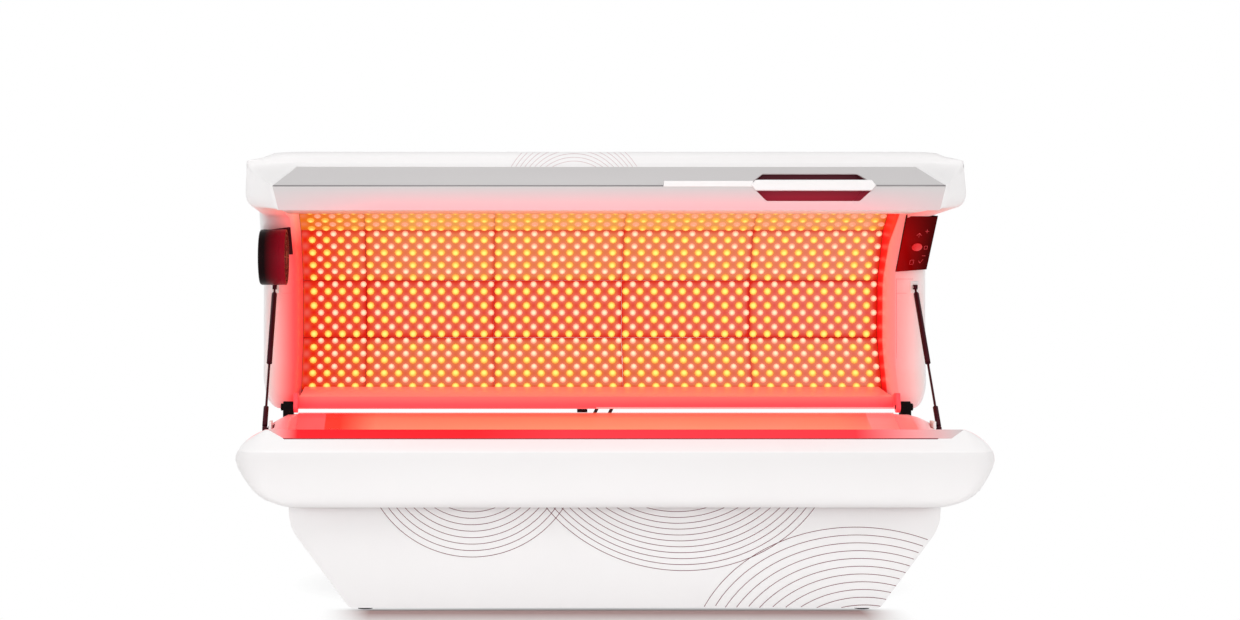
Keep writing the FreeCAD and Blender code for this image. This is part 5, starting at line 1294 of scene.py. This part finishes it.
class LIGHTBED_OT_control(bpy.types.Operator):
    """Wedge-shaped control panel with its dark glass and small glowing signs"""
    bl_idname = "lightbed.control"
    bl_label = "Control Panel"
    # Corners of the body and of the glass, seen from the front, and of the body's back
    outline = ((1.020, 1.0085), (1.1255, 1.0165), (1.1245, 1.1915), (1.0185, 1.1955))
    inset = ((1.0225, 1.0105), (1.1235, 1.0185), (1.1225, 1.1885), (1.0210, 1.1925))
    behind = ((1.024, 0.3495, 1.012), (1.122, 0.3495, 1.020), (1.122, 0.184, 1.1945), (1.024, 0.184, 1.1985))
    button = (1.070, 1.094)
    half_line = 0.0005

    def execute(self, context):
        front = [f for f in NODES["control_glass"].data.polygons if f.normal.y < -0.3]
        face = max(front, key=lambda f: f.area)
        normal, foot = face.normal.copy(), face.center.copy()

        def on(x, z, lift=0.0):
            """Point of the glass's face at this place, seen from the front."""
            return Vector((x, foot.y - normal.z * (z - foot.z) / normal.y, z)) + normal * lift

        body = slab("control_panel_body", [on(x, z, -0.0032) for x, z in self.outline],
                    [Vector(p) for p in self.behind], "black_gloss", 0.0015)
        finished(body, "canopy", "black_gloss", "control_panel_housing")
        glass = slab("control_panel_glass", [on(x, z) for x, z in self.inset],
                     [on(x, z, -0.003) for x, z in self.inset], "dark_glass", 0.0008)
        finished(glass, "canopy", "dark_glass", "control_glass")
        points, faces = [], []
        for sign in PANEL_SIGNS:
            for (xa, za), (xb, zb) in zip(sign, sign[1:]):
                along = Vector((xb - xa, zb - za)).normalized() * self.half_line
                loop = ((xa - along.y, za + along.x), (xa + along.y, za - along.x), (xb + along.y, zb - along.x),
                        (xb - along.y, zb + along.x))
                faces.append(tuple(range(len(points), len(points) + 4)))
                points += [on(self.button[0] + x, self.button[1] + z, 0.0003) for x, z in loop]
        signs = new_piece("control_panel_signs", points, faces, "panel_icon", facing=tuple(normal))
        finished(signs, "canopy", "red_button")
        return {"FINISHED"}


class LIGHTBED_OT_seams(bpy.types.Operator):
    """Fine joint lines on the canopy's end flanges, pink with painted red light of the lamps"""
    bl_idname = "lightbed.seams"
    bl_label = "Flange Joints"
    # Ends along the bed and heights of each line
    lines = ((1.0262, 1.0272, 0.640, 0.9865), (1.0262, 1.084, 0.9860, 0.9870), (1.0262, 1.062, 0.9380, 0.9388))

    def execute(self, context):
        faces = [tuple(range(start, start + 4)) for start in range(0, 4 * len(self.lines), 4)]
        for side, name in SIDES:
            points = [(side * x, 0.3495, z) for x0, x1, z0, z1 in self.lines
                      for x, z in ((x0, z0), (x1, z0), (x1, z1), (x0, z1))]
            piece = new_piece("flange_joints_" + name, points, faces, "pink_seam", facing=(0.0, -1.0, 0.0))
            finished(piece, "canopy", "white_gloss")
        return {"FINISHED"}


class LIGHTBED_OT_finishes(bpy.types.Operator):
    """Finishes of the CAD nodes that keep their shape"""
    bl_idname = "lightbed.finishes"
    bl_label = "Carried-over Finishes"
    # Finish, width of the softened edges and the nodes; a name without a side stands for both sides
    rows = (("steel_frame", 0.0015, "base_frame"),
            ("foot_rubber", 0.0015, "levelling_feet"),
            ("white_steel", 0.0015, "pedestal_front_panel pedestal_rear_panel pedestal_end_panel"),
            ("screw_steel", 0.0008, "rear_panel_screws"),
            ("aluminium_case", 0.0008, "equipment_deck power_supplies controller_box lamp_drivers"),
            ("dark_plastic", 0.0006, "base_fan_housing base_fan_rotor mains_inlet cable_clamp"),
            ("black_steel", 0.0012, "rear_vent_grille hinge_pins hinge_block"),
            ("white_steel", 0.0012, "strut_low_bracket strut_studs"),
            ("clear_acrylic", 0.0, "bed_sheet"),
            ("aluminium_frame", 0.0, "bed_lamp_tray bed_ribs canopy_ribs lamp_tray"),
            ("aluminium_hollow", 0.001, "canopy_frame"),
            ("white_sill", 0.0012, "canopy_sill hinge_plate"),
            ("white_gloss", 0.0012, "visor_liner"),
            ("strut_metal", 0.0008, "strut_cylinder strut_rod"),
            ("red_button", 0.0012, "start_button"),
            ("dark_plastic", 0.0008, "fan_motor"),
            ("fan_inside", 0.0004, "fan_impeller fan_grille"))

    def execute(self, context):
        for finish, edge, names in self.rows:
            for name in names.split():
                for node in [name] if name in NODES else [name + "_" + side for _, side in SIDES]:
                    dress(finish, edge, node)
        return {"FINISHED"}


class LIGHTBED_OT_stage(bpy.types.Operator):
    """Floor, studio light, white background and the camera"""
    bl_idname = "lightbed.stage"
    bl_label = "Stage"
    # Name, place, target, size and power of each lamp
    lamps = (("key", (-0.6, -3.4, 4.6), (0.0, -0.3, 0.6), 3.0, 42.0),
             ("fill", (0.0, -5.4, 0.7), (0.0, -0.4, 0.45), 2.4, 50.0),
             ("left", (-4.2, -2.6, 1.3), (0.0, -0.2, 0.7), 2.0, 26.0),
             ("right", (4.2, -2.6, 1.3), (0.0, -0.2, 0.7), 2.0, 26.0),
             ("back", (0.4, 3.6, 3.2), (0.0, 0.2, 0.9), 3.0, 12.0))
    floor_half = 14
    white = (1.0, 1.0, 1.0)

    def execute(self, context):
        scene = context.scene
        scene.view_settings.view_transform = "Standard"
        self.floor(scene)
        self.backdrop(scene)
        for lamp in self.lamps:
            self.lamp(scene, *lamp)
        camera = bpy.data.cameras.new("camera")
        camera.lens = 60.65
        camera.sensor_width = 36.0
        camera.shift_x = 0.1234
        camera.shift_y = -0.00806
        camera.clip_end = 100.0
        stand = bpy.data.objects.new("camera", camera)
        stand.location = (-0.435, -6.763, 0.915)
        stand.rotation_euler = (math.pi / 2, 0.0, 0.0)
        scene.collection.objects.link(stand)
        scene.camera = stand
        return {"FINISHED"}

    @staticmethod
    def lamp(scene, name, place, target, size, power):
        light = bpy.data.lights.new(name, "AREA")
        light.shape = "DISK"
        light.size = size
        light.energy = power
        stand = bpy.data.objects.new(name, light)
        stand.location = place
        aim = Vector(target) - Vector(place)
        stand.rotation_euler = aim.to_track_quat("-Z", "Y").to_euler()
        scene.collection.objects.link(stand)

    @staticmethod
    def seen(graph):
        """1 where a camera, mirror or glass ray sees the background."""
        path = graph.node("ShaderNodeLightPath").outputs
        mirrors = graph.math("MAXIMUM", path["Is Camera Ray"], path["Is Glossy Ray"])
        return mirrors.larger(path["Is Transmission Ray"])

    def floor(self, scene):
        """White floor that keeps the object's shadow, and a painted shadow close under the pedestal's front, seen only
        by camera, mirror and glass rays.
        """
        mesh = bpy.data.meshes.new("floor")
        half = self.floor_half
        mesh.from_pydata([(-half, -half, 0), (half, -half, 0), (half, half, 0), (-half, half, 0)], [], [(0, 1, 2, 3)])
        floor = bpy.data.objects.new("floor", mesh)
        scene.collection.objects.link(floor)
        finish = Finish("floor")
        x, y, z = finish.position()
        seen = self.seen(finish)
        shadow = (1.0 - x.size().rise(0.72, 0.86)) * y.rise(-1.12, -0.66) * (1.0 - y.rise(-0.61, -0.55))
        finish.set(Base_Color=finish.mix(shadow * seen, (0.90, 0.89, 0.89), (0.40, 0.28, 0.27)), Roughness=0.9,
                   Specular_IOR_Level=0.0)
        far = (x * x * 0.55 + y * y).rise(0.20, 0.55)
        share = (0.55 + far * 0.45) * (1.0 - shadow) * seen
        glow = finish.node("ShaderNodeEmission", {"Strength": 1.0})
        blend = finish.node("ShaderNodeMixShader", {0: share, 1: finish.shader.outputs[0], 2: glow.outputs[0]})
        finish.feed(finish.nodes["Material Output"].inputs[0], blend.outputs[0])
        mesh.materials.append(finish.material)

    def backdrop(self, scene):
        """Even pale light from all round, and plain white where the background is seen."""
        world = bpy.data.worlds.new("studio")
        world.use_nodes = True
        scene.world = world
        graph = Graph(world.node_tree)
        plain = graph.nodes["Background"]
        graph.feed(plain.inputs["Color"], self.white)
        graph.feed(plain.inputs["Strength"], 0.70)
        white = graph.node("ShaderNodeBackground", {"Color": self.white, "Strength": 1.0})
        blend = graph.node("ShaderNodeMixShader", {0: self.seen(graph), 1: plain.outputs[0], 2: white.outputs[0]})
        graph.feed(graph.nodes["World Output"].inputs[0], blend.outputs[0])


OPERATORS = (LIGHTBED_OT_hood, LIGHTBED_OT_trim, LIGHTBED_OT_bench, LIGHTBED_OT_lamps, LIGHTBED_OT_trough,
             LIGHTBED_OT_bed_lamps, LIGHTBED_OT_print, LIGHTBED_OT_hoses, LIGHTBED_OT_fan, LIGHTBED_OT_control,
             LIGHTBED_OT_seams, LIGHTBED_OT_finishes, LIGHTBED_OT_stage)


class LIGHTBED_PT_panel(bpy.types.Panel):
    """Lists the pieces of the light bed"""
    bl_idname = "LIGHTBED_PT_panel"
    bl_label = "Light Bed"
    bl_space_type = "VIEW_3D"
    bl_region_type = "UI"
    bl_category = "Light Bed"

    def draw(self, context):
        for operator in OPERATORS:
            self.layout.operator(operator.bl_idname)


GROUPS = (BenchSettings, CanopySettings, LampSettings, ColourSettings, LightBedSettings)


def register():
    for kind in GROUPS + OPERATORS + (LIGHTBED_PT_panel,):
        bpy.utils.register_class(kind)
    bpy.types.Scene.light_bed = PointerProperty(type=LightBedSettings)


def unregister():
    del bpy.types.Scene.light_bed
    for kind in reversed(GROUPS + OPERATORS + (LIGHTBED_PT_panel,)):
        bpy.utils.unregister_class(kind)


def main():
    register()
    make_finishes(bpy.context.scene.light_bed)
    for operator in OPERATORS:
        group, name = operator.bl_idname.split(".")
        getattr(getattr(bpy.ops, group), name)()


if __name__ == "__main__":
    main()
